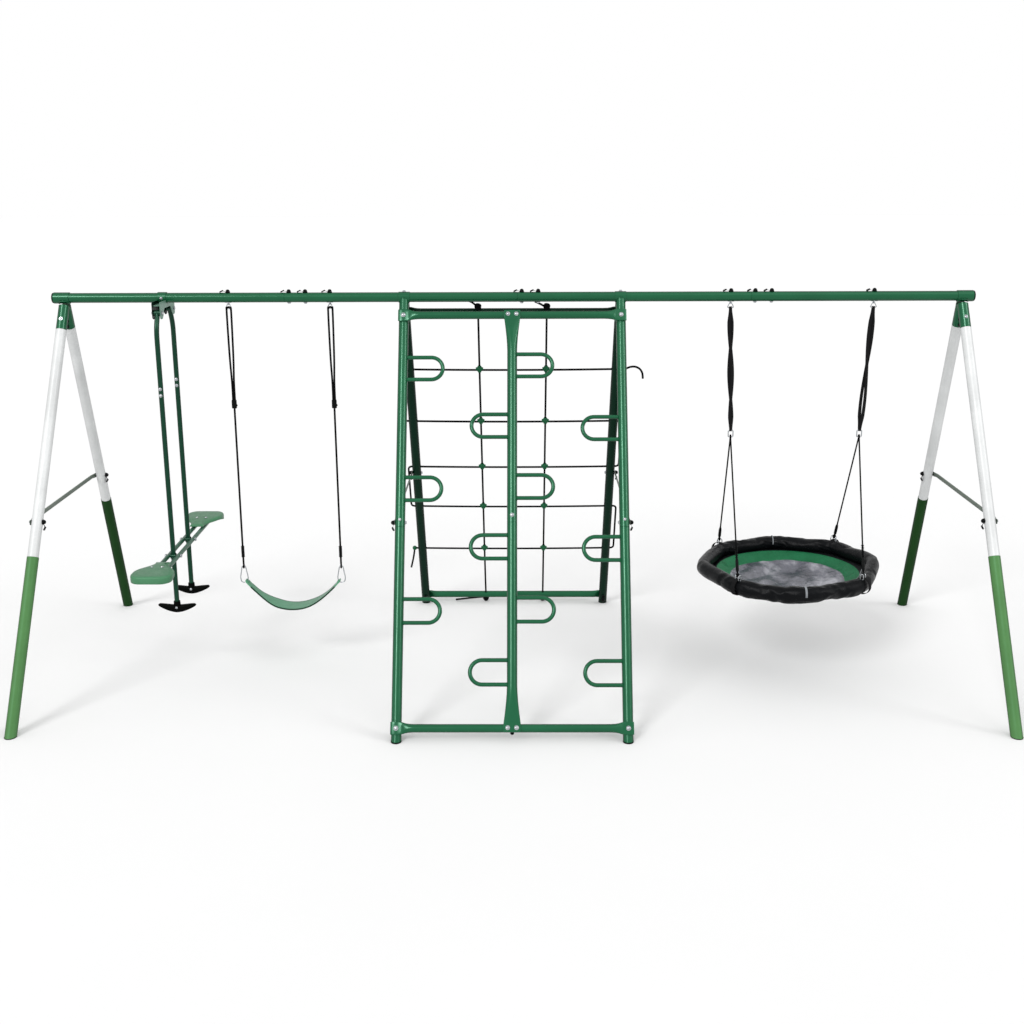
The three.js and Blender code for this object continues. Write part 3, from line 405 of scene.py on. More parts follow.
def fillet(corners, reach, steps=8):
    """Straight runs between corners with each corner rounded."""
    points = [corners[0]]
    for before, corner, after in zip(corners, corners[1:], corners[2:]):
        back, on = before - corner, after - corner
        room = min(reach, back.length * 0.48, on.length * 0.48)
        start, end = corner + back.normalized() * room, corner + on.normalized() * room
        for i in range(steps + 1):
            points.append(bend(start, corner, end, i / steps))
    points.append(corners[-1])
    return points


def spaced(points, step):
    """The same path with points no further apart than a step."""
    result = [points[0]]
    for before, after in zip(points, points[1:]):
        parts = max(1, math.ceil((after - before).length / step))
        result.extend(before.lerp(after, (i + 1) / parts) for i in range(parts))
    return result


def make_piece(name, shape, body, material, replaces=(), sharp=38):
    mesh = bpy.data.meshes.new(name)
    mesh.from_pydata([tuple(point) for point in shape.points], [], shape.faces)
    layer = mesh.uv_layers.new(name="UVMap")
    for polygon, places in zip(mesh.polygons, shape.uvs):
        for loop, place in zip(polygon.loop_indices, places):
            layer.data[loop].uv = place
    mesh.shade_smooth()
    mesh.set_sharp_from_angle(angle=math.radians(sharp))
    mesh.materials.append(material)
    piece = bpy.data.objects.new(name, mesh)
    bpy.context.scene.collection.objects.link(piece)
    turn_faces_out(mesh)
    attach(piece, body)
    if replaces:
        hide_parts(*replaces)
    return piece


def turn_faces_out(mesh):
    work = bmesh.new()
    work.from_mesh(mesh)
    bmesh.ops.recalc_face_normals(work, faces=work.faces)
    work.to_mesh(mesh)
    work.free()
    mesh.update()


# ---------------------------------------------------------------- materials
class Finish:
    """A node material with short ways to add the usual textures."""

    def __init__(self, name):
        self.material = bpy.data.materials.new(name)
        self.material.use_nodes = True
        self.tree = self.material.node_tree
        self.shader = self.tree.nodes["Principled BSDF"]
        self.place = self.node("ShaderNodeTexCoord")

    def node(self, kind, **settings):
        node = self.tree.nodes.new(kind)
        for key, value in settings.items():
            if key.startswith("in_"):
                node.inputs[key[3:].replace("_", " ")].default_value = value
            else:
                setattr(node, key, value)
        return node

    def link(self, source, target):
        self.tree.links.new(source, target)

    def noise(self, scale, detail=4, roughness=0.55, stretch=None):
        texture = self.node("ShaderNodeTexNoise", in_Scale=scale, in_Detail=detail, in_Roughness=roughness)
        place = self.place.outputs["Object"]
        if stretch:
            mapping = self.node("ShaderNodeMapping")
            mapping.inputs["Scale"].default_value = stretch
            self.link(place, mapping.inputs["Vector"])
            place = mapping.outputs["Vector"]
        self.link(place, texture.inputs["Vector"])
        return texture.outputs["Fac"]

    def wave(self, scale, distortion, direction):
        texture = self.node(
            "ShaderNodeTexWave", bands_direction=direction, in_Scale=scale, in_Distortion=distortion
        )
        self.link(self.place.outputs["Object"], texture.inputs["Vector"])
        return texture.outputs["Fac"]

    def ramp(self, factor, stops):
        ramp = self.node("ShaderNodeValToRGB")
        elements = ramp.color_ramp.elements
        while len(elements) < len(stops):
            elements.new(0.5)
        for element, (position, color) in zip(elements, stops):
            element.position = position
            element.color = (*color, 1)
        self.link(factor, ramp.inputs["Fac"])
        return ramp.outputs["Color"]

    def range(self, factor, low, high, start=0.0, end=1.0):
        span = self.node("ShaderNodeMapRange")
        span.inputs["From Min"].default_value = start
        span.inputs["From Max"].default_value = end
        span.inputs["To Min"].default_value = low
        span.inputs["To Max"].default_value = high
        self.link(factor, span.inputs["Value"])
        return span.outputs["Result"]

    def math(self, operation, first, second):
        node = self.node("ShaderNodeMath", operation=operation)
        for socket, value in zip(node.inputs, (first, second)):
            if isinstance(value, (int, float)):
                socket.default_value = value
            else:
                self.link(value, socket)
        return node.outputs["Value"]

    def blend(self, factor, first, second):
        mix = self.node("ShaderNodeMix", data_type="RGBA", blend_type="MIX")
        for socket, value in ((mix.inputs[0], factor), (mix.inputs[6], first), (mix.inputs[7], second)):
            if isinstance(value, (int, float)):
                socket.default_value = value
            elif isinstance(value, tuple):
                socket.default_value = (*value, 1)
            else:
                self.link(value, socket)
        return mix.outputs[2]

    def bump(self, height, distance, strength=1.0, below=None):
        bump = self.node("ShaderNodeBump", in_Strength=strength, in_Distance=distance)
        self.link(height, bump.inputs["Height"])
        if below is not None:
            self.link(below, bump.inputs["Normal"])
        return bump.outputs["Normal"]

    def set(self, **values):
        for key, value in values.items():
            socket = self.shader.inputs[key.replace("_", " ")]
            if isinstance(value, (int, float)):
                socket.default_value = value
            elif isinstance(value, tuple):
                socket.default_value = (*value, 1) if len(value) == 3 else value
            else:
                self.link(value, socket)
        return self.material


def band_scale(width):
    """The scale at which a wave texture's bands, and the gaps between them, are about this wide."""
    return 1 / width / 6.283


def tint(color, factor):
    return tuple(min(channel * factor, 1) for channel in color)


def powder_coat(name, color, roughness, orange_peel, gleam=0.2, gleam_tint=(1, 1, 1), edge=0.0):
    """Baked powder paint: an orange-peel skin, soft mottling, duller patches, and, if asked, painted shade
    that darkens the colour where the surface turns away from the view.
    """
    finish = Finish(name)
    mottle = finish.noise(3.5, 5, 0.6)
    fine = finish.noise(70, 3, 0.6)
    tone = finish.ramp(mottle, [(0.3, tint(color, 0.84)), (0.55, color), (0.78, tint(color, 1.16))])
    shade = finish.blend(finish.range(fine, 0.0, 0.22, 0.35, 0.75), tone, tint(color, 0.72))
    gloss = finish.range(finish.noise(9, 6, 0.65), roughness * 0.82, roughness * 1.3, 0.3, 0.75)
    if edge:
        # Painted shade: the colour darkens where the surface turns away from the view, and the specular level
        # falls there too.
        facing = finish.node("ShaderNodeLayerWeight", in_Blend=0.5).outputs["Facing"]
        shade = finish.blend(finish.range(facing, 0.0, edge, 0.30, 0.80), shade, tint(color, 0.25))
        gleam = finish.range(facing, gleam, gleam * (1 - edge), 0.30, 0.80)
    waves = finish.bump(finish.noise(38, 3, 0.4), 0.0009, orange_peel * 0.35)
    peel = finish.bump(finish.noise(420, 2, 0.5), 0.00016, orange_peel, waves)
    return finish.set(
        Base_Color=shade, Roughness=gloss, Normal=peel, Specular_IOR_Level=gleam,
        Specular_Tint=gleam_tint
    )


def moulded_plastic(name, color, roughness, grain=0.7, gleam=0.16, edge=0.0):
    """Injection-moulded plastic: a fine pebbled grain with faint flow marks and scuffs, and, if asked,
    painted shade that darkens the colour where the surface turns away from the view.
    """
    finish = Finish(name)
    flow = finish.noise(11, 4, 0.6, stretch=(1, 3, 1))
    tone = finish.ramp(flow, [(0.28, tint(color, 0.86)), (0.55, color), (0.8, tint(color, 1.12))])
    scuffs = finish.range(finish.noise(160, 6, 0.7), 0.0, 0.35, 0.6, 0.8)
    shade = finish.blend(scuffs, tone, tint(color, 1.3))
    if edge:
        # Painted shade: the colour darkens where the surface turns away from the view.
        facing = finish.node("ShaderNodeLayerWeight", in_Blend=0.5).outputs["Facing"]
        shade = finish.blend(finish.range(facing, 0.0, edge, 0.35, 0.90), shade, tint(color, 0.3))
    gloss = finish.range(finish.noise(24, 5, 0.6), roughness * 0.85, roughness * 1.2, 0.3, 0.7)
    pebble = finish.node("ShaderNodeTexVoronoi", in_Scale=900)
    finish.link(finish.place.outputs["Object"], pebble.inputs["Vector"])
    soft = finish.bump(finish.noise(60, 3), 0.0006, 0.2)
    normal = finish.bump(pebble.outputs["Distance"], 0.00022, grain, soft)
    return finish.set(Base_Color=shade, Roughness=gloss, Normal=normal, Specular_IOR_Level=gleam)


def zinc_plate(name, color, roughness):
    """Bright zinc plating: brushed scratches and a faint bluish bloom."""
    finish = Finish(name)
    bloom = finish.noise(60, 4, 0.6)
    tone = finish.ramp(bloom, [(0.3, tint(color, 0.8)), (0.55, color), (0.8, (0.72, 0.73, 0.7))])
    brushed = finish.noise(300, 3, 0.6, stretch=(1, 1, 9))
    gloss = finish.range(brushed, roughness * 0.7, roughness * 1.5, 0.3, 0.7)
    normal = finish.bump(brushed, 0.00006, 0.4)
    return finish.set(Base_Color=tone, Roughness=gloss, Normal=normal, Metallic=1.0)


def braided_rope(name, color, radius):
    """Braided rope: two families of strands wind opposite ways round it and cross over each other."""
    finish = Finish(name)
    turn = 1 / (radius * 9.0)
    split = finish.node("ShaderNodeSeparateXYZ")
    finish.link(finish.place.outputs["UV"], split.inputs["Vector"])
    run = finish.math("MULTIPLY", split.outputs["X"], turn)
    round_it = finish.math("MULTIPLY", split.outputs["Y"], 6.0)
    families = []
    for kind in ("ADD", "SUBTRACT"):
        phase = finish.math(kind, finish.math("MULTIPLY", run, 6.0), round_it)
        families.append(finish.math("SINE", finish.math("MULTIPLY", phase, 2 * math.pi), 0.0))
    crossing = finish.math("MULTIPLY", families[0], families[1])
    weave = finish.math("MAXIMUM", families[0], families[1])
    height = finish.math("ADD", finish.math("MULTIPLY", weave, 0.6), finish.math("MULTIPLY", crossing, 0.25))
    fibre = finish.noise(1400, 3, 0.6)
    # The tone follows the strands' relief: darker in the grooves, painted shade, and lighter on the crowns,
    # painted highlight; the fibre noise adds random tone.
    tone = finish.ramp(
        finish.math("ADD", finish.math("MULTIPLY", height, 0.35), finish.math("MULTIPLY", fibre, 0.45)),
        [(0.05, tint(color, 0.45)), (0.4, color), (0.75, tint(color, 1.6))],
    )
    fuzz = finish.bump(fibre, 0.00025, 0.5)
    normal = finish.bump(height, radius * 0.14, 0.8, fuzz)
    return finish.set(Base_Color=tone, Roughness=0.85, Normal=normal, Specular_IOR_Level=0.03)


def flat_webbing(name, color):
    """Flat-woven webbing: cross ribs and lengthwise cords."""
    finish = Finish(name)
    ribs = finish.wave(band_scale(0.0022), 0.6, "Z")
    cords = finish.wave(band_scale(0.0030), 0.4, "X")
    weave = finish.math("MULTIPLY", ribs, finish.math("ADD", finish.math("MULTIPLY", cords, 0.5), 0.5))
    fibre = finish.noise(1100, 3, 0.6)
    # The tone follows the weave's relief: darker between the ribs, painted shade, and lighter on them,
    # painted highlight; the fibre noise adds random tone.
    tone = finish.ramp(
        finish.math("ADD", finish.math("MULTIPLY", weave, 0.5), finish.math("MULTIPLY", fibre, 0.4)),
        [(0.1, tint(color, 0.5)), (0.45, color), (0.85, tint(color, 2.2))],
    )
    normal = finish.bump(weave, 0.0007, 0.8, finish.bump(fibre, 0.0002, 0.4))
    return finish.set(Base_Color=tone, Roughness=0.75, Normal=normal, Specular_IOR_Level=0.1)


def coated_cloth(name, color, roughness, wrinkle, weave=0.5, gleam=0.16):
    """Coated woven cloth: a plain weave under a thin skin, with creases."""
    finish = Finish(name)
    warp = finish.wave(band_scale(0.0016), 0.3, "X")
    weft = finish.wave(band_scale(0.0016), 0.3, "Y")
    rise = finish.wave(band_scale(0.0016), 0.3, "Z")
    cloth = finish.math("MULTIPLY", finish.math("ADD", warp, weft), finish.math("ADD", rise, 0.5))
    mottle = finish.noise(7, 5, 0.6)
    tone = finish.ramp(mottle, [(0.28, tint(color, 0.72)), (0.52, color), (0.78, tint(color, 1.5))])
    creases = finish.noise(26, 5, 0.62, stretch=(1, 1, 0.6))
    folds = finish.noise(9, 3, 0.5)
    gloss = finish.range(creases, roughness * 0.8, roughness * 1.25, 0.3, 0.7)
    low = finish.bump(folds, 0.012, wrinkle)
    middle_bump = finish.bump(creases, 0.0035, wrinkle, low)
    normal = finish.bump(cloth, 0.0003, weave, middle_bump)
    return finish.set(Base_Color=tone, Roughness=gloss, Normal=normal, Specular_IOR_Level=gleam)


# A coat's seventh number and a plastic's sixth is its edge: painted shade that darkens the colour where the
# surface turns away from the view.
GREEN_GLEAM, GREY_GLEAM = (0.50, 1.0, 0.72), (0.8, 1.0, 0.92)
GREEN = powder_coat("green_powder_coat", (0.0040, 0.068, 0.0260), 0.21, 0.5, 0.48, GREEN_GLEAM, 0.9)
# A darker copy of the green powder coat: painted shade on the rear uprights, the rear top rail and the glider
# bracket's far cheek, which stand in shadow.
GREEN_PAINTED_SHADE = powder_coat(
    "green_powder_coat_painted_shade", (0.0008, 0.0125, 0.0058), 0.26, 0.5, 0.13, GREEN_GLEAM, 0.8
)
HANGER_GREEN = powder_coat(
    "hanger_green_powder_coat", (0.0016, 0.024, 0.0115), 0.22, 0.5, 0.34, GREEN_GLEAM, 0.9
)
LIGHT_GREEN = powder_coat("light_green_powder_coat", (0.018, 0.100, 0.052), 0.30, 0.45, 0.34, GREY_GLEAM, 0.6)
BRACKET_GREEN = powder_coat("bracket_green_powder_coat", (0.085, 0.17, 0.125), 0.4, 0.45, 0.4, GREY_GLEAM)
LEG_GREEN = powder_coat("leg_green_powder_coat", (0.066, 0.168, 0.054), 0.42, 0.6, 0.24, GREEN_GLEAM, 0.7)
# A darker copy of the leg green: painted shade on the rear lower legs, which stand in shadow.
LEG_GREEN_PAINTED_SHADE = powder_coat(
    "leg_green_powder_coat_painted_shade", (0.0090, 0.040, 0.0075), 0.44, 0.6, 0.09, GREEN_GLEAM, 0.7
)
WHITE = powder_coat("white_powder_coat", (0.56, 0.57, 0.57), 0.33, 0.35, 0.36, (1, 1, 1), 0.30)
BRACE_GREEN = powder_coat("brace_paint", (0.070, 0.092, 0.072), 0.45, 0.6, 0.3)
SEAT_GREEN = moulded_plastic("seat_plastic", (0.052, 0.172, 0.085), 0.38, 0.7, 0.2, 0.45)
BELT_GREEN = moulded_plastic("belt_plastic", (0.076, 0.262, 0.145), 0.34, 0.9, 0.2, 0.65)
# A dark copy of the belt's green for the beads along its edges: painted shade where the edges fold away.
BELT_EDGE_PAINTED_SHADE = moulded_plastic("belt_edge_painted_shade_plastic", (0.005, 0.034, 0.016), 0.40, 0.6, 0.10, 0.5)
BLACK_PLASTIC = moulded_plastic("black_plastic", (0.0016, 0.0020, 0.0017), 0.42, 0.7, 0.022)
CAP_PLASTIC = moulded_plastic("cap_plastic", (0.0025, 0.003, 0.003), 0.38, 0.4, 0.06)
CLIP_GREEN = moulded_plastic("clip_plastic", (0.003, 0.075, 0.028), 0.4, 0.4)
ZINC = zinc_plate("zinc_plating", (0.40, 0.42, 0.44), 0.26)
ROPE = braided_rope("braided_rope", (0.004, 0.004, 0.0045), BELT_ROPE_R)
NET_ROPE = braided_rope("net_rope", (0.0045, 0.0045, 0.005), NET_R)
WEBBING = flat_webbing("webbing", (0.005, 0.005, 0.0055))
# Pale cloth for the seam strips, and for the cord that is a painted highlight along the rim's inner front
# edge.
PALE_TRIM_AND_HIGHLIGHT = coated_cloth("pale_trim_and_painted_highlight", (0.16, 0.17, 0.18), 0.4, 0.2, 0.3)
COVER = coated_cloth("rim_cover", (0.0020, 0.0024, 0.0030), 0.30, 0.40, 0.4, 0.085)


# ---------------------------------------------------------------- small hardware
def hex_bolt(shape, point, outward, across=0.013, height=0.0055, washer=0.0105):
    """A washer, a hexagon head and the crowned top of a bolt."""
    outward = outward.normalized()
    shape.turned(
        point, outward,
        [(0, 0), (washer, 0), (washer, 0.0012), (washer - 0.0004, 0.0016), (0, 0.0016)], 28
    )
    radius = across / math.sqrt(3)
    top = 0.0016 + height
    head = [(0, 0.0014), (radius, 0.0014), (radius, top - 0.0012), (radius * 0.84, top), (0, top + 0.0004)]
    shape.turned(point, outward, head, 6)


def dome_bolt(shape, point, outward, radius=0.0085, height=0.005):
    """A washer under a smooth domed head."""
    outward = outward.normalized()
    washer = radius * 1.25
    shape.turned(point, outward, [(0, 0), (washer, 0), (washer, 0.0012), (0, 0.0014)], 28)
    dome = [(0, 0.0012)]
    dome += [
        (radius * math.cos(t * math.pi / 12), 0.0012 + height * math.sin(t * math.pi / 12))
        for t in range(0, 6)
    ]
    dome.append((0, 0.0012 + height))
    shape.turned(point, outward, dome, 24)


def nut_cap(shape, point, outward, hang, radius=0.0125):
    """A plastic nut cap: a flanged base with a dome, and its open lid on a short strap."""
    outward = outward.normalized()
    hang = (hang - outward * hang.dot(outward)).normalized()
    base = [(0, 0), (radius, 0), (radius, 0.003), (radius * 0.86, 0.005)]
    dome = [
        (radius * 0.86 * math.cos(t * math.pi / 10), 0.006 + 0.0105 * math.sin(t * math.pi / 10))
        for t in range(0, 5)
    ]
    shape.turned(point, outward, base + dome + [(0, 0.0165)], 28)
    start = point + hang * (radius * 0.9) + outward * 0.002
    knee = point + hang * (radius + 0.010) + outward * 0.010
    lid = point + hang * (radius + 0.019) + outward * 0.004
    across = outward.cross(hang).normalized()
    rows = []
    for i in range(9):
        centre = bend(start, knee, lid, i / 8)
        rows.append(
            [
                centre + across * a + outward * b
                for a, b in ((0.003, 0), (0.003, 0.0014), (-0.003, 0.0014), (-0.003, 0))
            ]
        )
    shape.rows(rows, caps=(True, True))
    lid_axis = (outward + hang * 0.5).normalized()
    rim = radius * 0.84
    shape.turned(lid, lid_axis, [(0, 0), (rim, 0), (rim, 0.005), (rim - 0.0015, 0.0062), (0, 0.0066)], 24)


def end_plug(shape, point, outward, radius):
    """A plastic plug pressed into a tube's end."""
    profile = [(0, -0.004), (radius - 0.0005, -0.004), (radius + 0.0004, -0.003), (radius + 0.0004, 0.0012)]
    profile += [(radius - 0.002, 0.0034), (0, 0.0042)]
    shape.turned(point, outward.normalized(), profile, 36)


# ---------------------------------------------------------------- beam
def beam():
    ends = [-BEAM_END, *SEAMS, BEAM_END]
    for i in range(4):
        shape = Shape()
        slit = SLIT if i < 3 else 0
        start, end = Vector((ends[i], 0, BEAM_Z)), Vector((ends[i + 1] - slit, 0, BEAM_Z))
        shape.pipe(start, end, BEAM_R, BEAM_R - BEAM_WALL, 64)
        if i < 3:
            shape.pipe(end - X_AXIS * 0.02, end + X_AXIS * 0.15, BEAM_R - 0.0023, BEAM_R - 0.0042, 48)
        make_piece(
            f"beam_section_{i + 1}_tube", shape, "frame", GREEN,
            [f"beam_section_{i + 1}"]
        )
    hardware, caps = Shape(), Shape()
    for seam in SEAMS:
        for step in (0.021, 0.105):
            top = Vector((seam + step, 0, BEAM_Z + BEAM_R))
            nut_cap(caps, top, Z_AXIS, -X_AXIS)
            hex_bolt(hardware, Vector((seam + step, 0, BEAM_Z - BEAM_R)), -Z_AXIS)
    for x in hook_places():
        nut_cap(caps, Vector((x, 0, BEAM_Z + BEAM_R)), Z_AXIS, -X_AXIS)
    for side in (-1, 1):
        end_plug(caps, Vector((side * (BEAM_END + 0.001), 0, BEAM_Z)), X_AXIS * side, BEAM_R + 0.001)
    make_piece("beam_bolts", hardware, "frame", ZINC)
    make_piece("beam_nut_caps", caps, "frame", CAP_PLASTIC)


def hook_places():
    return (BELT_X - BELT_HOOK, BELT_X + BELT_HOOK, SAUCER.x - SAUCER_HOOK, SAUCER.x + SAUCER_HOOK)


def swing_hooks():
    """The bent hooks under the beam that the swings' hanger rings ride on."""
    shape = Shape()
    for x in hook_places():
        top, bottom, half = BEAM_Z - BEAM_R + 0.004, HOOK_Z - 0.0060, 0.0095
        corners = [
            Vector((x, -half, top)), Vector((x, -half, bottom)), Vector((x, half, bottom)),
            Vector((x, half, top))
        ]
        shape.tube(fillet(corners, 0.009, 8), 0.003, 14)
        plate = rounded_box(0.017, 0.012, 0.004)
        shape.slab(plate, Vector((x, 0, BEAM_Z - BEAM_R + 0.0006)), X_AXIS, Y_AXIS, 0.0025)
    make_piece("swing_hooks", shape, "frame", ZINC)


# ---------------------------------------------------------------- A-frames
def leg_point(side, row, height):
    share = 1 - height / LEG_APEX.z
    x = side * (LEG_APEX.x + (LEG_FOOT.x - LEG_APEX.x) * share)
    return Vector((x, row * LEG_FOOT.y * share, height))


def a_frames():
    bolts, caps, plugs = Shape(), Shape(), Shape()
    for side_name, side in SIDES:
        corner_bracket(side_name, side, bolts, caps)
        for row_name, row in ROWS:
            leg(side_name, side, row_name, row, plugs)
        leg_brace(side_name, side, bolts, caps)
    make_piece("leg_bolts", bolts, "frame", ZINC)
    make_piece("leg_nut_caps", caps, "frame", CAP_PLASTIC)
    make_piece("leg_foot_plugs", plugs, "frame", BLACK_PLASTIC)


def corner_bracket(name, side, bolts, caps):
    shape = Shape()
    inner, outer = Vector((side * 2.268, 0, BEAM_Z)), Vector((side * (BEAM_END - 0.003), 0, BEAM_Z))
    sleeve_r, stub_r = 0.0285, 0.027
    shape.pipe(inner, outer, sleeve_r, BEAM_R + 0.0003, 64, 0.0012)
    for _, row in ROWS:
        top, shoulder = leg_point(side, row, LEG_APEX.z - 0.002), leg_point(side, row, LEG_TOP)
        along = (shoulder - top).normalized()
        length = (shoulder - top).length
        start = top + along * 0.020
        profile = [
            (0, 0), (stub_r, 0), (stub_r, length - 0.021), (stub_r - 0.001, length - 0.020),
            (0, length - 0.020)
        ]
        shape.turned(start, along, profile, 64)
        shape.weld(top, along, stub_r, Vector((0, 0, BEAM_Z)), X_AXIS, sleeve_r, 0.0026)
        out = (Y_AXIS * row - along * along.dot(Y_AXIS * row)).normalized()
        bolt_at = leg_point(side, row, LEG_TOP + 0.046)
        dome_bolt(bolts, bolt_at + out * stub_r, out, 0.0072, 0.0045)
        nut_cap(caps, bolt_at - out * stub_r, -out, along)
    make_piece(
        f"corner_bracket_{name}_body", shape, "frame", GREEN,
        [f"corner_bracket_{name}"]
    )


def leg(side_name, side, row_name, row, plugs):
    along = (leg_point(side, row, 0) - leg_point(side, row, LEG_APEX.z)).normalized()
    top = leg_point(side, row, LEG_TOP) + along * SLIT
    upper = Shape()
    upper.pipe(top, leg_point(side, row, LEG_SEAM) + along * 0.1, LEG_UPPER_R, LEG_UPPER_R - TUBE_WALL, 64)
    make_piece(
        f"leg_upper_{row_name}_{side_name}_tube", upper, "frame", WHITE,
        [f"leg_upper_{row_name}_{side_name}"]
    )

    lower = Shape()
    seam, foot = leg_point(side, row, LEG_SEAM), leg_point(side, row, 0)
    across, up = square_to(along)
    rows = []
    for radius, distance in (
        (0.0274, 0.010), (0.0274, 0.0008), (LEG_LOWER_R - 0.0008, 0), (LEG_LOWER_R, 0.0008)
    ):
        rows.append(circle(seam + along * distance, across, up, radius, 64))
    cut_row = []
    for point in circle(seam, across, up, LEG_LOWER_R, 64):
        cut_row.append(point + along * (point.z / -along.z))
    for share in (0.25, 0.5, 0.75):
        rows.append([first.lerp(last, share) for first, last in zip(rows[3], cut_row)])
    rows.append(cut_row)
    lower.rows(rows, caps=(False, True))
    name = f"leg_lower_{row_name}_{side_name}"
    # The rear legs wear a darker copy of the leg green: painted shade.
    paint = LEG_GREEN_PAINTED_SHADE if row > 0 else LEG_GREEN
    make_piece(f"{name}_tube", lower, "frame", paint, [name])
    sole = [leg_foot_edge(point, foot) for point in cut_row]
    plugs.rows([[p + Z_AXIS * 0.004 for p in sole], [p + Z_AXIS * 0.0006 for p in sole]], caps=(False, True))


def leg_foot_edge(point, foot):
    """A point just outside the foot's edge, so that the dark plug shows as a thin line round it."""
    return foot + (point - foot) * 1.012


def leg_brace(side_name, side, bolts, caps):
    """A tube with its ends pressed flat, bolted across the outer faces of two legs."""
    front = leg_point(side, -1, LEG_BRACE_Z)
    reach = -front.y
    tab_x = front.x + side * (LEG_UPPER_R + 0.0030)
    tube_x = front.x + side * (LEG_UPPER_R + 0.0112)
    stations = (
        (reach + 0.017, 0.011, 0.0022, 5), (reach + 0.013, 0.0122, 0.0024, 5),
        (reach - 0.018, 0.0122, 0.0024, 5)
    )
    stations += ((reach - 0.032, 0.0112, 0.0060, 2.6), (reach - 0.050, LEG_BRACE_R, LEG_BRACE_R, 2))
    sections = []
    for y, half_height, half_depth, power in stations:
        x = tab_x if half_depth < 0.003 else tube_x if power == 2 else (tab_x + tube_x) / 2
        sections.append((Vector((x, -y, LEG_BRACE_Z)), Z_AXIS, X_AXIS, half_height, half_depth, power))
    mirrored = [(Vector((c.x, -c.y, c.z)), a, b, h, d, p) for c, a, b, h, d, p in reversed(sections)]
    shape = Shape().loft(sections + mirrored)
    name = f"leg_brace_{side_name}"
    make_piece(f"{name}_tube", shape, "frame", BRACE_GREEN, [name])
    for _, row in ROWS:
        centre = leg_point(side, row, LEG_BRACE_Z)
        hex_bolt(bolts, Vector((tab_x + side * 0.0026, centre.y, centre.z)), X_AXIS * side)
        nut_cap(caps, centre - X_AXIS * (side * LEG_UPPER_R), -X_AXIS * side, -Z_AXIS, 0.013)


# ---------------------------------------------------------------- climbing frame
SLOPE = math.hypot(BEAM_Z, CLIMBER_SPREAD)
DOWN_Y, DOWN_Z = CLIMBER_SPREAD / SLOPE, -BEAM_Z / SLOPE


def on_frame(row, x, down, out=0.0):
    return Vector((x, row * (down * DOWN_Y - out * DOWN_Z), BEAM_Z + down * DOWN_Z + out * DOWN_Y))


def frame_down(row):
    return Vector((0, row * DOWN_Y, DOWN_Z))


def frame_out(row):
    return Vector((0, -row * DOWN_Z, DOWN_Y))


def climber_tee(name, side, bolts):
    x = side * CLIMBER_X
    sleeve_r = BEAM_R + 0.0026
    shape = Shape()
    shape.pipe(
        Vector((x - 0.029, 0, BEAM_Z)), Vector((x + 0.029, 0, BEAM_Z)), sleeve_r, BEAM_R + 0.0003,
        64, 0.001
    )
    for _, row in ROWS:
        start = on_frame(row, x, 0.016)
        length = TEE_END - 0.016
        shape.turned(
            start, frame_down(row),
            [
                (0, 0), (CLIMBER_R, 0), (CLIMBER_R, length - 0.001), (CLIMBER_R - 0.001, length),
                (0, length)
            ],
            64
        )
        shape.weld(
            on_frame(row, x, 0), frame_down(row), CLIMBER_R, Vector((0, 0, BEAM_Z)), X_AXIS,
            sleeve_r, 0.0024
        )
    hex_bolt(bolts, Vector((x, 0, BEAM_Z + sleeve_r)), Z_AXIS)
    make_piece(f"climber_tee_{name}_body", shape, "frame", GREEN, [f"climber_tee_{name}"])


def step_path(row, x, down, out, side):
    """The line of a D-shaped step: out from the upright, round, and back."""
    straight = LOOP_REACH - LOOP_HALF
    points = [on_frame(row, x + side * 0.012, down - LOOP_HALF, out)]
    for i in range(21):
        angle = -math.pi / 2 + math.pi * i / 20
        across = straight + LOOP_HALF * math.cos(angle)
        points.append(on_frame(row, x + side * across, down + LOOP_HALF * math.sin(angle), out))
    points.append(on_frame(row, x + side * 0.012, down + LOOP_HALF, out))
    return points


def add_steps(shape, x, out, steps):
    for down, side in steps:
        shape.tube(step_path(-1, x, down, out, side), LOOP_R, 24)
        for end in (-1, 1):
            start = on_frame(-1, x, down + end * LOOP_HALF, out)
            shape.weld(
                start, X_AXIS * side, LOOP_R, on_frame(-1, x, 0, out), frame_down(-1), CLIMBER_R,
                0.0016
            )


def grounded_tube(shape, row, x, start, radius, bore):
    """A slanted tube from a distance down the frame to its level cut on the ground."""
    out = frame_out(row)
    top_rows = []
    for r, down in (
        (bore, start + 0.012), (bore, start + 0.0006), (radius - 0.0006, start),
        (radius, start + 0.0006)
    ):
        top_rows.append(circle(on_frame(row, x, down), X_AXIS, out, r, 64))
    foot = []
    along = frame_down(row)
    for point in top_rows[3]:
        foot.append(point + along * ((point.z - 0.0004) / -along.z))
    for share in (0.2, 0.4, 0.6, 0.8):
        top_rows.append([first.lerp(last, share) for first, last in zip(top_rows[3], foot)])
    top_rows.append(foot)
    shape.rows(top_rows, caps=(False, True))
    return foot


def foot_plug(plugs, foot):
    centre = sum(foot, Vector()) / len(foot)
    edge = [centre + (point - centre) * 1.03 for point in foot]
    rows = [[p + Z_AXIS * 0.006 for p in edge], [p + Z_AXIS * 0.0008 for p in edge]]
    plugs.rows(rows, caps=(True, True))


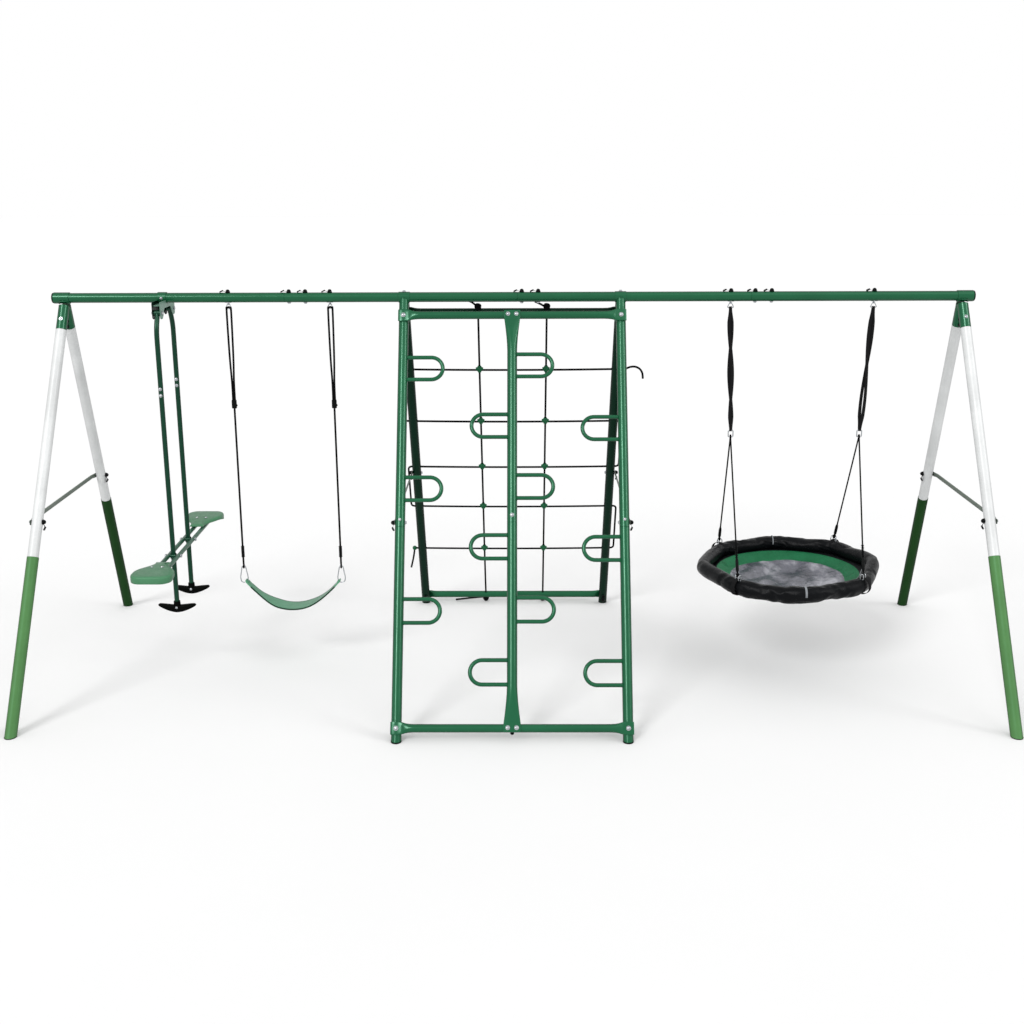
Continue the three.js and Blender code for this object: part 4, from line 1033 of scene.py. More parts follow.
def side_upright(name, side, bolts, plugs):
    x = side * CLIMBER_X
    rows = LOOP_ROWS[0::2] if side < 0 else LOOP_ROWS[1::2]
    upper = Shape()
    upper.pipe(
        on_frame(-1, x, TEE_END + SLIT), on_frame(-1, x, UPRIGHT_SEAM), CLIMBER_R,
        CLIMBER_R - TUBE_WALL, 64
    )
    add_steps(upper, x, 0, [(down, -side) for down in rows if down < UPRIGHT_SEAM])
    node = f"climber_upright_{name}_upper"
    make_piece(f"{node}_tube", upper, "frame", GREEN, [node])
    lower = Shape()
    foot = grounded_tube(lower, -1, x, UPRIGHT_SEAM + 0.0008, CLIMBER_R, CLIMBER_R - TUBE_WALL)
    foot_plug(plugs, foot)
    add_steps(lower, x, 0, [(down, -side) for down in rows if down > UPRIGHT_SEAM])
    node = f"climber_upright_{name}_lower"
    make_piece(f"{node}_tube", lower, "frame", GREEN, [node])
    dome_bolt(bolts, on_frame(-1, x, UPRIGHT_SEAM - 0.035, CLIMBER_R), frame_out(-1), 0.006, 0.004)


def pinched_end(out, rail, towards):
    """Sections of the middle upright's end, pressed flat and wide where it is bolted over a rail."""
    tab_out = RAIL_OUT + RAIL_R + 0.0030
    stations = (
        (-0.018, 0.0395, 0.0023, 7, tab_out),
        (-0.015, 0.0415, 0.0025, 7, tab_out),
        (0.012, 0.0418, 0.0026, 7, tab_out),
        (0.026, 0.0405, 0.0040, 5, tab_out + 0.0004),
        (0.050, 0.0372, 0.0085, 3.4, tab_out + 0.0008),
        (0.085, 0.0330, 0.0148, 2.6, out - 0.0004),
        (0.125, 0.0290, 0.0202, 2.2, out),
        (0.165, 0.0262, 0.0238, 2.05, out),
        (0.200, CLIMBER_R, CLIMBER_R, 2, out),
    )
    return [
        (on_frame(-1, 0, rail + towards * down, offset), X_AXIS, frame_out(-1), width, depth, power)
        for down, width, depth, power, offset in stations
    ]


def center_upright(bolts, caps):
    steps = [(down, -1 if i % 2 else 1) for i, down in enumerate(LOOP_ROWS)]
    out = CENTRE_OUT
    for part, rail, towards, end in (
        ("upper", TOP_RAIL, 1, CENTRE_SEAM), ("lower", BOTTOM_RAIL, -1, CENTRE_SEAM + 0.0008)
    ):
        sections = pinched_end(out, rail, towards)
        count = 6
        last = rail + towards * 0.200
        for i in range(1, count + 1):
            down = last + (end - last) * i / count
            sections.append((on_frame(-1, 0, down, out), X_AXIS, frame_out(-1), CLIMBER_R, CLIMBER_R, 2))
        shape = Shape().loft(sections)
        chosen = [step for step in steps if (step[0] < CENTRE_SEAM) == (part == "upper")]
        add_steps(shape, 0, out, chosen)
        node = f"climber_upright_center_{part}"
        make_piece(f"{node}_tube", shape, "frame", GREEN, [node])
        for across in (-0.021, 0.021):
            face = on_frame(-1, across, rail + towards * 0.002, RAIL_OUT + RAIL_R + 0.0056)
            dome_bolt(bolts, face, frame_out(-1), 0.0088, 0.0052)
    dome_bolt(bolts, on_frame(-1, 0, CENTRE_SEAM - 0.035, out + CLIMBER_R), frame_out(-1), 0.008, 0.0045)
    nut_cap(
        caps, on_frame(-1, 0, BOTTOM_RAIL - 0.011, RAIL_OUT - RAIL_R), -frame_out(-1),
        frame_down(-1), 0.0115
    )


def rail(node, row, down, bolts, caps, material):
    """A round rail whose ends are pressed flat, flared and cupped against the side uprights."""
    stations = (
        (0.470, RAIL_R, RAIL_R, 2, 0), (0.492, 0.0212, 0.0188, 2.1, 0),
        (0.508, 0.0240, 0.0140, 2.5, 0.3)
    )
    stations += (
        (0.521, 0.0280, 0.0078, 3.4, 0.7), (0.532, 0.0305, 0.0034, 5, 1),
        (0.553, 0.0312, 0.0026, 7, 1)
    )
    stations += ((0.568, 0.0312, 0.0026, 7, 1), (0.577, 0.0306, 0.0025, 7, 1), (0.580, 0.0295, 0.0021, 7, 1))
    tab_out = CLIMBER_R + 0.0033
    half = []
    for across, height, depth, power, settled in stations:
        from_axis = across - CLIMBER_X
        cup = 0.3 * (0.030 - math.sqrt(max(0.030**2 - from_axis**2, 0))) if across > 0.525 else 0
        out = RAIL_OUT + (tab_out - RAIL_OUT) * settled - cup
        half.append((across, height, depth, power, out))
    sections = []
    for side in (-1, 1):
        run = [
            (on_frame(row, side * across, down, out), frame_down(row), frame_out(row), height, depth, power)
            for across, height, depth, power, out in half
        ]
        sections += list(reversed(run)) if side < 0 else run
    shape = Shape().loft(sections)
    make_piece(f"{node}_tube", shape, "frame", material, [node])
    for side in (-1, 1):
        face = on_frame(row, side * CLIMBER_X, down, tab_out + 0.0026)
        dome_bolt(bolts, face, frame_out(row), 0.0092, 0.0055)
        strap_way = frame_down(row) if down < UPRIGHT_SEAM else -frame_down(row)
        nut_cap(caps, on_frame(row, side * CLIMBER_X, down, -CLIMBER_R), -frame_out(row), strap_way, 0.012)


def rear_upright(name, side, plugs):
    x = side * CLIMBER_X
    shape = Shape()
    foot = grounded_tube(shape, 1, x, TEE_END + SLIT, CLIMBER_R, CLIMBER_R - TUBE_WALL)
    foot_plug(plugs, foot)
    for down in NET_ROWS:
        for way in (-1, 1):
            shape.ring(
                on_frame(1, x + way * (CLIMBER_R - 0.0005), down), X_AXIS, NET_R + 0.0012, 0.0010,
                20, 8
            )
    node = f"climber_rear_upright_{name}"
    # The rear uprights wear the darker copy of the green: painted shade.
    make_piece(f"{node}_tube", shape, "frame", GREEN_PAINTED_SHADE, [node])


def side_brace(name, side, bolts, caps):
    """A flat bar with rounded ends across the outer faces of a front and a rear upright."""
    x = middle(f"climber_side_brace_{name}").x
    size = extent(f"climber_side_brace_{name}")
    half, tall = size.y / 2, size.z / 2
    outline = rounded_box(half, tall, tall * 0.95, 8)
    shape = Shape().slab(outline, Vector((x, 0, SIDE_BRACE_Z)), Y_AXIS, Z_AXIS, size.x)
    make_piece(
        f"climber_side_brace_{name}_bar", shape, "frame", BRACE_GREEN,
        [f"climber_side_brace_{name}"]
    )
    for row in (-1, 1):
        y = row * CLIMBER_SPREAD * (BEAM_Z - SIDE_BRACE_Z) / BEAM_Z
        outer = Vector((x + side * size.x / 2, y, SIDE_BRACE_Z))
        nut_cap(caps, outer, X_AXIS * side, -Z_AXIS, 0.0125)
        hex_bolt(bolts, Vector((side * (CLIMBER_X - CLIMBER_R), y, SIDE_BRACE_Z)), -X_AXIS * side)


def climbing_frame():
    bolts, caps, plugs = Shape(), Shape(), Shape()
    for name, side in SIDES:
        climber_tee(name, side, bolts)
        side_upright(name, side, bolts, plugs)
        rear_upright(name, side, plugs)
        side_brace(name, side, bolts, caps)
    center_upright(bolts, caps)
    rail("climber_front_top_rail", -1, TOP_RAIL, bolts, caps, GREEN)
    rail("climber_front_bottom_rail", -1, BOTTOM_RAIL, bolts, caps, GREEN)
    # The rear top rail wears the darker copy of the green: painted shade.
    rail("climber_rear_top_rail", 1, TOP_RAIL, bolts, caps, GREEN_PAINTED_SHADE)
    rail("climber_rear_bottom_rail", 1, REAR_BOTTOM_RAIL, bolts, caps, GREEN)
    make_piece("climber_bolts", bolts, "frame", ZINC)
    make_piece("climber_nut_caps", caps, "frame", CAP_PLASTIC)
    make_piece("climber_foot_plugs", plugs, "frame", BLACK_PLASTIC)


# ---------------------------------------------------------------- climbing net
def net_rope_points():
    """The rope that runs to and fro through the rear uprights, from its curled tail to its last knot."""
    edge = CLIMBER_X + NET_TURN
    first = NET_ROWS[0]
    corners = [(edge + 0.100, first + 0.062), (edge + 0.096, first + 0.026), (edge + 0.080, first - 0.002)]
    corners += [(edge + 0.054, first - 0.016), (edge + 0.026, first - 0.013), (edge + 0.004, first)]
    for i, down in enumerate(NET_ROWS):
        side = 1 if i % 2 else -1
        corners.append((side * edge, down))
        if i < len(NET_ROWS) - 1:
            corners.append((side * edge, NET_ROWS[i + 1]))
    return [on_frame(1, x, down) for x, down in corners]


def net_column_points(x):
    top, bottom = TOP_RAIL - RAIL_R - 0.004, REAR_BOTTOM_RAIL + RAIL_R + 0.004
    points = [on_frame(1, x, top, RAIL_OUT), on_frame(1, x, TOP_RAIL + 0.040, RAIL_OUT)]
    points += [on_frame(1, x, down, 0.004) for down in NET_ROWS]
    points += [on_frame(1, x, REAR_BOTTOM_RAIL - 0.040, RAIL_OUT), on_frame(1, x, bottom, RAIL_OUT)]
    return points


def sagged(points, amount):
    """Long free spans of a rope hang a little below the straight line between their ends."""
    result = [points[0]]
    for before, after in zip(points, points[1:]):
        span = (after - before).length
        parts = max(1, math.ceil(span / ROPE_STEP))
        for i in range(1, parts + 1):
            t = i / parts
            drop = amount * span * 4 * t * (1 - t) if span > 0.2 else 0
            result.append(before.lerp(after, t) - Z_AXIS * drop)
    return result


def knot(shape, centre, radius, direction):
    """An overhand knot: turns of rope wound into a ball."""
    side, up = square_to(direction)
    direction = direction.normalized()
    path = []
    for i in range(46):
        t = i / 45
        angle = 2 * math.pi * 2.6 * t
        swell = radius * (0.55 + 0.45 * math.sin(math.pi * t))
        path.append(
            centre + (side * math.cos(angle) + up * math.sin(angle)) * swell * 0.72
            + direction * ((t - 0.5) * radius * 1.5)
        )
    shape.tube(path, radius * 0.40, 12)


def climbing_net():
    serpent = sagged(fillet(net_rope_points(), 0.022, 6), 0.004)
    main = make_piece(
        "climbing_net_row_rope", Shape().tube(serpent, NET_R, 12), "frame", NET_ROPE,
        ["climbing_net"]
    )
    clips = Shape()
    columns = []
    for name, x in zip(("left", "right"), NET_COLUMNS):
        path = spaced(fillet(net_column_points(x), 0.020, 4), ROPE_STEP)
        rope = make_piece(
            f"climbing_net_column_rope_{name}", Shape().tube(path, NET_R, 12), "frame", NET_ROPE,
        )
        knots = Shape()
        for end, away in ((path[0], -1), (path[-1], 1)):
            knot(knots, end + frame_down(1) * (away * 0.010), NET_KNOT_R, frame_down(1))
        columns.append(
            (rope, path, make_piece(f"climbing_net_knots_{name}", knots, "frame", NET_ROPE))
        )
        for down in NET_ROWS:
            clip(clips, on_frame(1, x, down, 0.002))
    last = NET_ROWS[-1]
    edge = -(CLIMBER_X + NET_TURN)
    end_ball = on_frame(1, edge, last)
    clips.ball(end_ball, 0.0135)
    tails = (
        (
            "end",
            [
                end_ball, end_ball + Vector((-0.008, 0.002, -0.055)),
                end_ball + Vector((-0.024, 0.006, -0.125))
            ]
        ),
        (
            "top_left",
            tail_from(
                columns[0][1][0], Vector((-0.030, -0.004, 0.030)), Vector((-0.085, -0.008, 0.052))
            )
        ),
        (
            "top_right",
            tail_from(
                columns[1][1][0], Vector((-0.028, -0.004, 0.018)), Vector((-0.062, -0.008, 0.034))
            )
        ),
        (
            "bottom_left",
            tail_from(
                columns[0][1][-1], Vector((-0.060, 0.004, -0.006)), Vector((-0.190, 0.010, -0.022))
            )
        ),
    )
    for name, corners in tails:
        path = spaced(smooth_path(corners, 10), 0.006)
        rope = make_piece(
            f"climbing_net_tail_{name}", Shape().tube(path, NET_R, 12), "frame", NET_ROPE
        )
    clip_piece = make_piece("climbing_net_clips", clips, "frame", CLIP_GREEN)


def tail_from(start, middle_step, end_step):
    return [start, start + middle_step, start + end_step]


def clip(shape, centre):
    """A moulded cross that grips two ropes where they meet: a button with four short collars."""
    out, down = frame_out(1), frame_down(1)
    profile = [
        (0, -0.0135), (0.011, -0.0125), (0.0155, -0.007), (0.0165, 0), (0.0155, 0.007),
        (0.011, 0.0125), (0, 0.0135)
    ]
    shape.turned(centre, out, profile, 28)
    for direction in (X_AXIS, -X_AXIS, down, -down):
        shape.turned(
            centre, direction, [(0.0095, 0.011), (0.0095, 0.0185), (0.0082, 0.0198), (0, 0.0198)],
            18
        )


# ---------------------------------------------------------------- glider
def glider_bracket():
    """Two cheek plates and a web on a clamp round the beam; the hangers' pivots sit in the cheeks' lobes."""
    x = GLIDER_X
    gap, plate = 0.037, 0.003
    pivot_y, pivot_z = GLIDER_TOP.y, GLIDER_TOP.z
    top, edge, lobe = BEAM_Z - 0.010, 0.138, 0.022
    lobe_arc = [
        (pivot_y + (edge - pivot_y) * math.cos(t), pivot_z - lobe * 0.9 + 0.012 * math.sin(t))
        for t in (0, -math.pi / 6, -math.pi / 3, -math.pi / 2)
    ]
    cheeks, far_cheek, clamp = Shape(), Shape(), Shape()
    for side, shape, arch in ((-1, far_cheek, 0.006), (1, cheeks, 0.040)):
        half = [
            (edge - 0.006, top), (edge, top - 0.006), *lobe_arc,
            (pivot_y - 0.018, pivot_z - lobe * 0.9 - 0.010)
        ]
        for i in range(7):
            t = i / 6
            half.append((pivot_y - 0.024 - (pivot_y - 0.075) * t * 0.9, pivot_z - 0.022 + arch * smooth(t)))
        outline = half + [(-y, z) for y, z in reversed(half)]
        outline.reverse()
        centre = Vector((x + side * (gap / 2 + plate / 2), 0, 0))
        shape.slab(outline, centre, Y_AXIS, Z_AXIS, plate, 0.0007)
    web = [(-edge + 0.012, -0.0022), (edge - 0.012, -0.0022), (edge - 0.012, 0.0022), (-edge + 0.012, 0.0022)]
    cheeks.slab(web, Vector((x, 0, BEAM_Z - BEAM_R - 0.0035)), Y_AXIS, Z_AXIS, gap + 0.001)
    clamp_r = BEAM_R + 0.004
    clamp.pipe(
        Vector((x - 0.023, 0, BEAM_Z)), Vector((x + 0.023, 0, BEAM_Z)), clamp_r, BEAM_R + 0.0003,
        64, 0.001
    )
    make_piece("glider_bracket_body", cheeks, "frame", BRACKET_GREEN, ["glider_bracket"])
    # The far cheek wears the darker copy of the green: painted shade.
    make_piece("glider_bracket_left_cheek", far_cheek, "frame", GREEN_PAINTED_SHADE)
    make_piece("glider_bracket_clamp", clamp, "frame", GREEN)
    screws = Shape()
    for side in (-1, 1):
        dome_bolt(screws, Vector((x, side * clamp_r, BEAM_Z)), Y_AXIS * side, 0.006, 0.004)
    make_piece("glider_bracket_screws", screws, "frame", ZINC)
    for row_name, row in ROWS:
        bolt = Shape()
        pin_through(bolt, Vector((x, row * pivot_y, pivot_z)), gap / 2 + plate)
        node = f"glider_top_pivot_bolt_{row_name}"
        make_piece(f"{node}_pin", bolt, "frame", ZINC, [node])


def pin_through(shape, centre, reach):
    """A pivot bolt along X: shank, washers, a hexagon head and a locking nut."""
    shape.rod(centre - X_AXIS * reach, centre + X_AXIS * reach, 0.006, 24)
    for side in (-1, 1):
        hex_bolt(shape, centre + X_AXIS * (side * (reach + 0.0002)), X_AXIS * side, 0.0155, 0.006, 0.0105)


def glider_hanger(row_name, row):
    body = f"glider_{row_name}_hanger"
    x = GLIDER_X
    pivot = Vector((x, row * GLIDER_TOP.y, GLIDER_TOP.z))
    shoulder = Vector((x, row * HANGER_SHOULDER[0], HANGER_SHOULDER[1]))
    rail_pivot = Vector((x, row * GLIDER_RAIL.y, GLIDER_RAIL.z))
    down = (rail_pivot - shoulder).normalized()

    def at_height(z):
        return shoulder + down * ((shoulder.z - z) / -down.z)

    seam = at_height(HANGER_SEAM)
    upper = Shape()
    upper.tube(spaced(fillet([pivot, shoulder, seam], 0.060, 12), 0.03), HANGER_R, 32)
    upper.pipe(pivot - X_AXIS * 0.0172, pivot + X_AXIS * 0.0172, 0.015, 0.0064, 36)
    node = f"glider_upper_hanger_{row_name}"
    make_piece(f"{node}_tube", upper, body, HANGER_GREEN, [node])

    lower = Shape()
    lower.pipe(at_height(HANGER_SEAM - 0.0008), at_height(0.372), HANGER_R, HANGER_R - 0.0016, 40)
    lower.pipe(rail_pivot - X_AXIS * 0.0140, rail_pivot + X_AXIS * 0.0140, 0.0155, 0.0064, 36)
    node = f"glider_lower_hanger_{row_name}"
    make_piece(f"{node}_tube", lower, body, HANGER_GREEN, [node])

    screws = Shape()
    for z in (1.555, 1.522):
        for way in (-1, 1):
            dome_bolt(screws, at_height(z) + Y_AXIS * (way * HANGER_R), Y_AXIS * way, 0.0072, 0.0045)
    rest_front = at_height(0.381)
    for way in (-1, 1):
        dome_bolt(screws, rest_front + Y_AXIS * (way * 0.0192), Y_AXIS * way, 0.0055, 0.0035)
    make_piece(f"glider_hanger_screws_{row_name}", screws, body, ZINC)
    foot_rest(row_name, at_height(0.372), body)


def foot_rest(row_name, centre, body):
    """A moulded boat-shaped bar: full in the middle, rising to a thin tip at each end."""
    node = f"glider_footrest_{row_name}"
    low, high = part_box(node)
    half = (high[0] - low[0]) / 2
    sections = []
    steps = 28
    for i in range(steps + 1):
        t = -1 + 2 * i / steps
        a = abs(t)
        top = high[2] - 0.006 - 0.004 * math.cos(a * math.pi) if a < 0.97 else high[2] - 0.003
        bottom = low[2] + (high[2] - 0.012 - low[2]) * (a**1.7) * 0.94
        depth = 0.019 * (1 - 0.50 * a**2.2)
        if a > 0.99:
            top, bottom, depth = top - 0.004, bottom + 0.002, depth * 0.7
        mid, tall = (top + bottom) / 2, (top - bottom) / 2
        sections.append((Vector((GLIDER_X + t * half, centre.y, mid)), Y_AXIS, Z_AXIS, depth, tall, 3.2))
    shape = Shape().loft(sections)
    collar = [
        (HANGER_R + 0.0005, 0.030), (HANGER_R + 0.0045, 0.030), (HANGER_R + 0.0060, 0.0),
        (HANGER_R + 0.0005, 0.0)
    ]
    shape.turned(Vector((GLIDER_X, centre.y, high[2] - 0.018)), Z_AXIS, collar, 36, along=True)
    make_piece(f"{node}_bar", shape, body, BLACK_PLASTIC, [node])


def glider_seats():
    body = "glider_seat_frame"
    for name, _ in SIDES:
        node = f"glider_rail_{name}"
        low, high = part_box(node)
        x, z = middle(node).x, middle(node).z
        shape = Shape().pipe(
            Vector((x, low[1], z)), Vector((x, high[1], z)), RAIL_TUBE_R, RAIL_TUBE_R - 0.0015, 40
        )
        make_piece(f"{node}_tube", shape, body, LIGHT_GREEN, [node])
    screws = Shape()
    for row_name, row in ROWS:
        pin = Shape()
        pin_through(pin, Vector((GLIDER_X, row * GLIDER_RAIL.y, GLIDER_RAIL.z)), 0.0375)
        node = f"glider_rail_pivot_bolt_{row_name}"
        make_piece(f"{node}_pin", pin, body, ZINC, [node])
        saddle(row_name, row, screws)
    make_piece("glider_seat_screws", screws, body, ZINC)


def saddle(row_name, row, screws):
    """A moulded seat: narrow towards the hangers, wide outside, crowned, with a deep rolled lip."""
    node = f"glider_seat_{row_name}"
    low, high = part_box(node)
    inner_y, outer_y = (high[1], low[1]) if row < 0 else (low[1], high[1])
    run = abs(outer_y - inner_y)
    top = high[2]
    half_out = (high[0] - low[0]) / 2
    half_in = 0.038
    right = []
    for i in range(15):
        t = i / 14
        width = half_in + (half_out - half_in) * smooth(t * 1.30 - 0.12)
        right.append((width, run * 0.78 * t))
    for i in range(1, 13):
        angle = math.pi / 2 * i / 12
        right.append((half_out - 0.056 * (1 - math.cos(angle)), run * 0.78 + run * 0.22 * math.sin(angle)))
    outline = right + [(-x, y) for x, y in reversed(right)]

    def depth(y):
        return 0.020 + 0.018 * smooth((y / run - 0.50) / 0.4)

    def fall(y):
        return 0.006 * (1 - smooth(y / run / 0.55))

    levels = (
        (0.0050, -0.006, True), (0.0045, 0.0, False), (0.0010, 0.0, False), (0.0, 0.0012, False),
        (0.0, -0.012, True)
    )
    levels += (
        (0.0008, -0.008, True), (0.0030, -0.0042, True), (0.0066, -0.0016, True),
        (0.0120, -0.0004, True)
    )
    rows = []
    for amount, height, from_top in levels:
        corners = inset(outline, amount)
        row_points = []
        for (x, y), (_, base_y) in zip(corners, outline):
            z = top - fall(base_y) + height if from_top else top - depth(base_y) + height
            row_points.append(Vector((GLIDER_X + x, inner_y + row * y, z)))
        rows.append(row_points)
    shape = Shape()
    centre_y = inner_y + row * run * 0.55
    for share in (0.75, 0.45, 0.18):
        rows.append(
            [
                Vector(
                    (
                        GLIDER_X + (p.x - GLIDER_X) * share, centre_y + (p.y - centre_y) * share,
                        top - 0.0004 + 0.0022 * (1 - share)
                    )
                )
                for p in rows[8]
            ]
        )
    shape.rows(rows, caps=(True, True))
    make_piece(f"{node}_shell", shape, "glider_seat_frame", SEAT_GREEN, [node], sharp=50)
    for side in (-1, 1):
        at = Vector((GLIDER_X + side * 0.026, inner_y + row * run * 0.42, top + 0.0012))
        dome_bolt(screws, at, Z_AXIS, 0.0062, 0.0034)


def glider():
    glider_bracket()
    for row_name, row in ROWS:
        glider_hanger(row_name, row)
    glider_seats()


# ---------------------------------------------------------------- hanging hardware
def hanger_triangle(shape, x):
    """The bent wire triangle that hangs on a hook and carries a rope or strap on its base."""
    base, apex, half = RING_BASE, HOOK_Z + 0.0020, 0.014
    corners = [Vector((x, 0, base)), Vector((x - half - 0.003, 0, base)), Vector((x, 0, apex + 0.003))]
    corners += [Vector((x + half + 0.003, 0, base)), Vector((x, 0, base))]
    path = fillet(corners, 0.006, 6)
    shape.tube(path[:-1], RING_WIRE, 14, closed=True)


# ---------------------------------------------------------------- belt swing
def belt_swing():
    for name, side in SIDES:
        belt_rope(name, side)
        belt_ring(name, side)
    belt_seat()


def belt_rope(name, side):
    top_x, bottom_x = BELT_X + side * BELT_HOOK, BELT_X + side * BELT_RING
    radius = BELT_ROPE_R
    top_z, eye_z, meet, adjuster = RING_BASE + RING_WIRE + radius - 0.0008, BELT_EYE, 1.560, 1.447

    def lean(z):
        return bottom_x + (top_x - bottom_x) * (z - eye_z) / (top_z - eye_z)

    def strand(dx, z):
        return Vector((lean(z) + dx, 0, z))

    loop = [
        strand(-radius, adjuster), strand(-radius, meet), strand(-0.0095, 1.70),
        strand(-0.0115, top_z - 0.022), strand(-0.008, top_z - 0.004)
    ]
    loop += [
        strand(0, top_z + 0.001), strand(0.008, top_z - 0.004), strand(0.0115, top_z - 0.022),
        strand(0.0095, 1.70)
    ]
    loop += [strand(radius, meet), strand(radius, adjuster)]
    path = spaced(smooth_path(loop, 10), ROPE_STEP)
    node = f"belt_rope_{name}"
    doubled = make_piece(f"{node}_loop", Shape().tube(path, radius, 16), "belt_ropes", ROPE, [node])
    single_path = spaced([strand(0, adjuster + 0.004), strand(0, eye_z + 0.012)], ROPE_STEP)
    single = make_piece(f"{node}_fall", Shape().tube(single_path, radius, 16), "belt_ropes", ROPE)

    eye = Shape()
    centre = Vector((bottom_x, 0, eye_z))
    eye.ring(centre, X_AXIS, 0.0092, 0.0042, 36, 14)
    eye_piece = make_piece(f"{node}_eye", eye, "belt_ropes", ROPE)

    plastic = Shape()
    block_at = strand(0, adjuster)
    outline = rounded_box(0.0125, 0.0085, 0.004)
    plastic.slab(outline, block_at, X_AXIS, Y_AXIS, 0.044, 0.002)
    plastic.ball(block_at + Vector((0.010, -0.004, -0.006)), 0.008, 0.9)
    adjuster_piece = make_piece(f"{node}_adjuster", plastic, "belt_ropes", CAP_PLASTIC)
    crimp = Shape()
    for z in (0.668, 0.612):
        crimp.turned(
            strand(0, z), Z_AXIS,
            [(0, -0.002), (0.0088, -0.002), (0.0094, 0), (0.0088, 0.002), (0, 0.002)], 24
        )
    sleeve = [
        (0.0050, -0.003), (0.0072, 0.0), (0.0085, 0.006), (0.0085, 0.050), (0.0072, 0.057),
        (0.0050, 0.060)
    ]
    crimp.turned(strand(0, 0.611), Z_AXIS, [(0, -0.003), *sleeve, (0, 0.060)], 24)
    crimp_piece = make_piece(f"{node}_crimp_sleeve", crimp, "belt_ropes", CAP_PLASTIC)
    wire = Shape()
    hanger_triangle(wire, top_x)
    make_piece(f"{node}_hanger_ring", wire, "belt_ropes", ZINC)


def smooth_path(points, steps):
    """A curve through all the points (Catmull-Rom)."""
    result = []
    for i in range(len(points) - 1):
        a = points[max(i - 1, 0)]
        b, c = points[i], points[i + 1]
        d = points[min(i + 2, len(points) - 1)]
        for k in range(steps):
            t = k / steps
            result.append(
                (
                    b * 2 + (c - a) * t + (a * 2 - b * 5 + c * 4 - d) * t * t
                    + (b * 3 - a - c * 3 + d) * t**3
                ) * 0.5
            )
    result.append(points[-1])
    return result


def belt_ring(name, side):
    x, top = BELT_X + side * BELT_RING, BELT_EYE
    corners = [
        (0, 0), (-0.009, 0), (-0.021, -0.064), (-0.017, -0.088), (0, -0.094), (0.017, -0.088),
        (0.021, -0.064), (0.009, 0), (0, 0)
    ]
    path = fillet([Vector((x + dx, 0, top + dz)) for dx, dz in corners], 0.009, 6)
    shape = Shape().tube(path[:-1], 0.0028, 16, closed=True)
    node = f"belt_ring_{name}"
    make_piece(f"{node}_wire", shape, "belt_seat_and_rings", ZINC, [node])


BELT_HALF, BELT_LOW, BELT_RISE = 0.256, 0.330, 0.151


def belt_line(x):
    return BELT_LOW + BELT_RISE * (abs(x) / BELT_HALF) ** 2.1


def belt_normal(x):
    slope = (belt_line(x + 0.001) - belt_line(x - 0.001)) / 0.002
    return Vector((-slope, 0, 1)).normalized()


def belt_seat():
    """A moulded belt: wide and thin under the sitter, narrowing to a thick tab round each ring's hole."""
    sections = []
    steps = 72
    for i in range(steps + 1):
        x = BELT_HALF * (-1 + 2 * i / steps)
        reach = abs(x)
        width = 0.062 - 0.035 * smooth((reach - 0.075) / 0.135)
        thickness = 0.0040
        if reach > 0.250:
            width *= 1 - 0.35 * (reach - 0.250) / 0.006
            thickness = 0.0032
        centre = Vector((BELT_X + x, 0, belt_line(x)))
        sections.append((centre, Y_AXIS, belt_normal(x), width, thickness, 5))
    shape = Shape().loft(sections)
    for _, side in SIDES:
        x = side * (BELT_RING - 0.017)
        normal = belt_normal(x)
        centre = Vector((BELT_X + x, 0, belt_line(x)))
        for way in (-1, 1):
            shape.ring(centre + normal * (way * 0.0042), normal, 0.0092, 0.0020, 28, 10)
    # Beads along both long edges in the dark belt plastic: painted shade along the folded edges.
    edges = Shape()
    for way in (-1, 1):
        bead = []
        for centre, _, _, width, _, _ in sections[4:-4]:
            bead.append(centre + Y_AXIS * (way * (width - 0.0020)))
        edges.tube(bead, 0.0040, 12)
    make_piece("belt_seat_edges", edges, "belt_seat_and_rings", BELT_EDGE_PAINTED_SHADE)
    for rib in (-0.030, 0.0, 0.030):
        path = []
        for i in range(37):
            x = 0.165 * (-1 + 2 * i / 36)
            path.append(Vector((BELT_X + x, rib, belt_line(x) - 0.0036)))
        shape.tube(path, 0.0016, 8)
    make_piece("belt_seat_strap", shape, "belt_seat_and_rings", BELT_GREEN, ["belt_seat"])


# ---------------------------------------------------------------- saucer swing
def saucer_corner(side, row):
    reach = RIM_RADIUS * math.sqrt(0.5)
    lift = rim_lift(math.atan2(row, side))
    return Vector((SAUCER.x + side * reach, row * reach, SAUCER.z + lift))


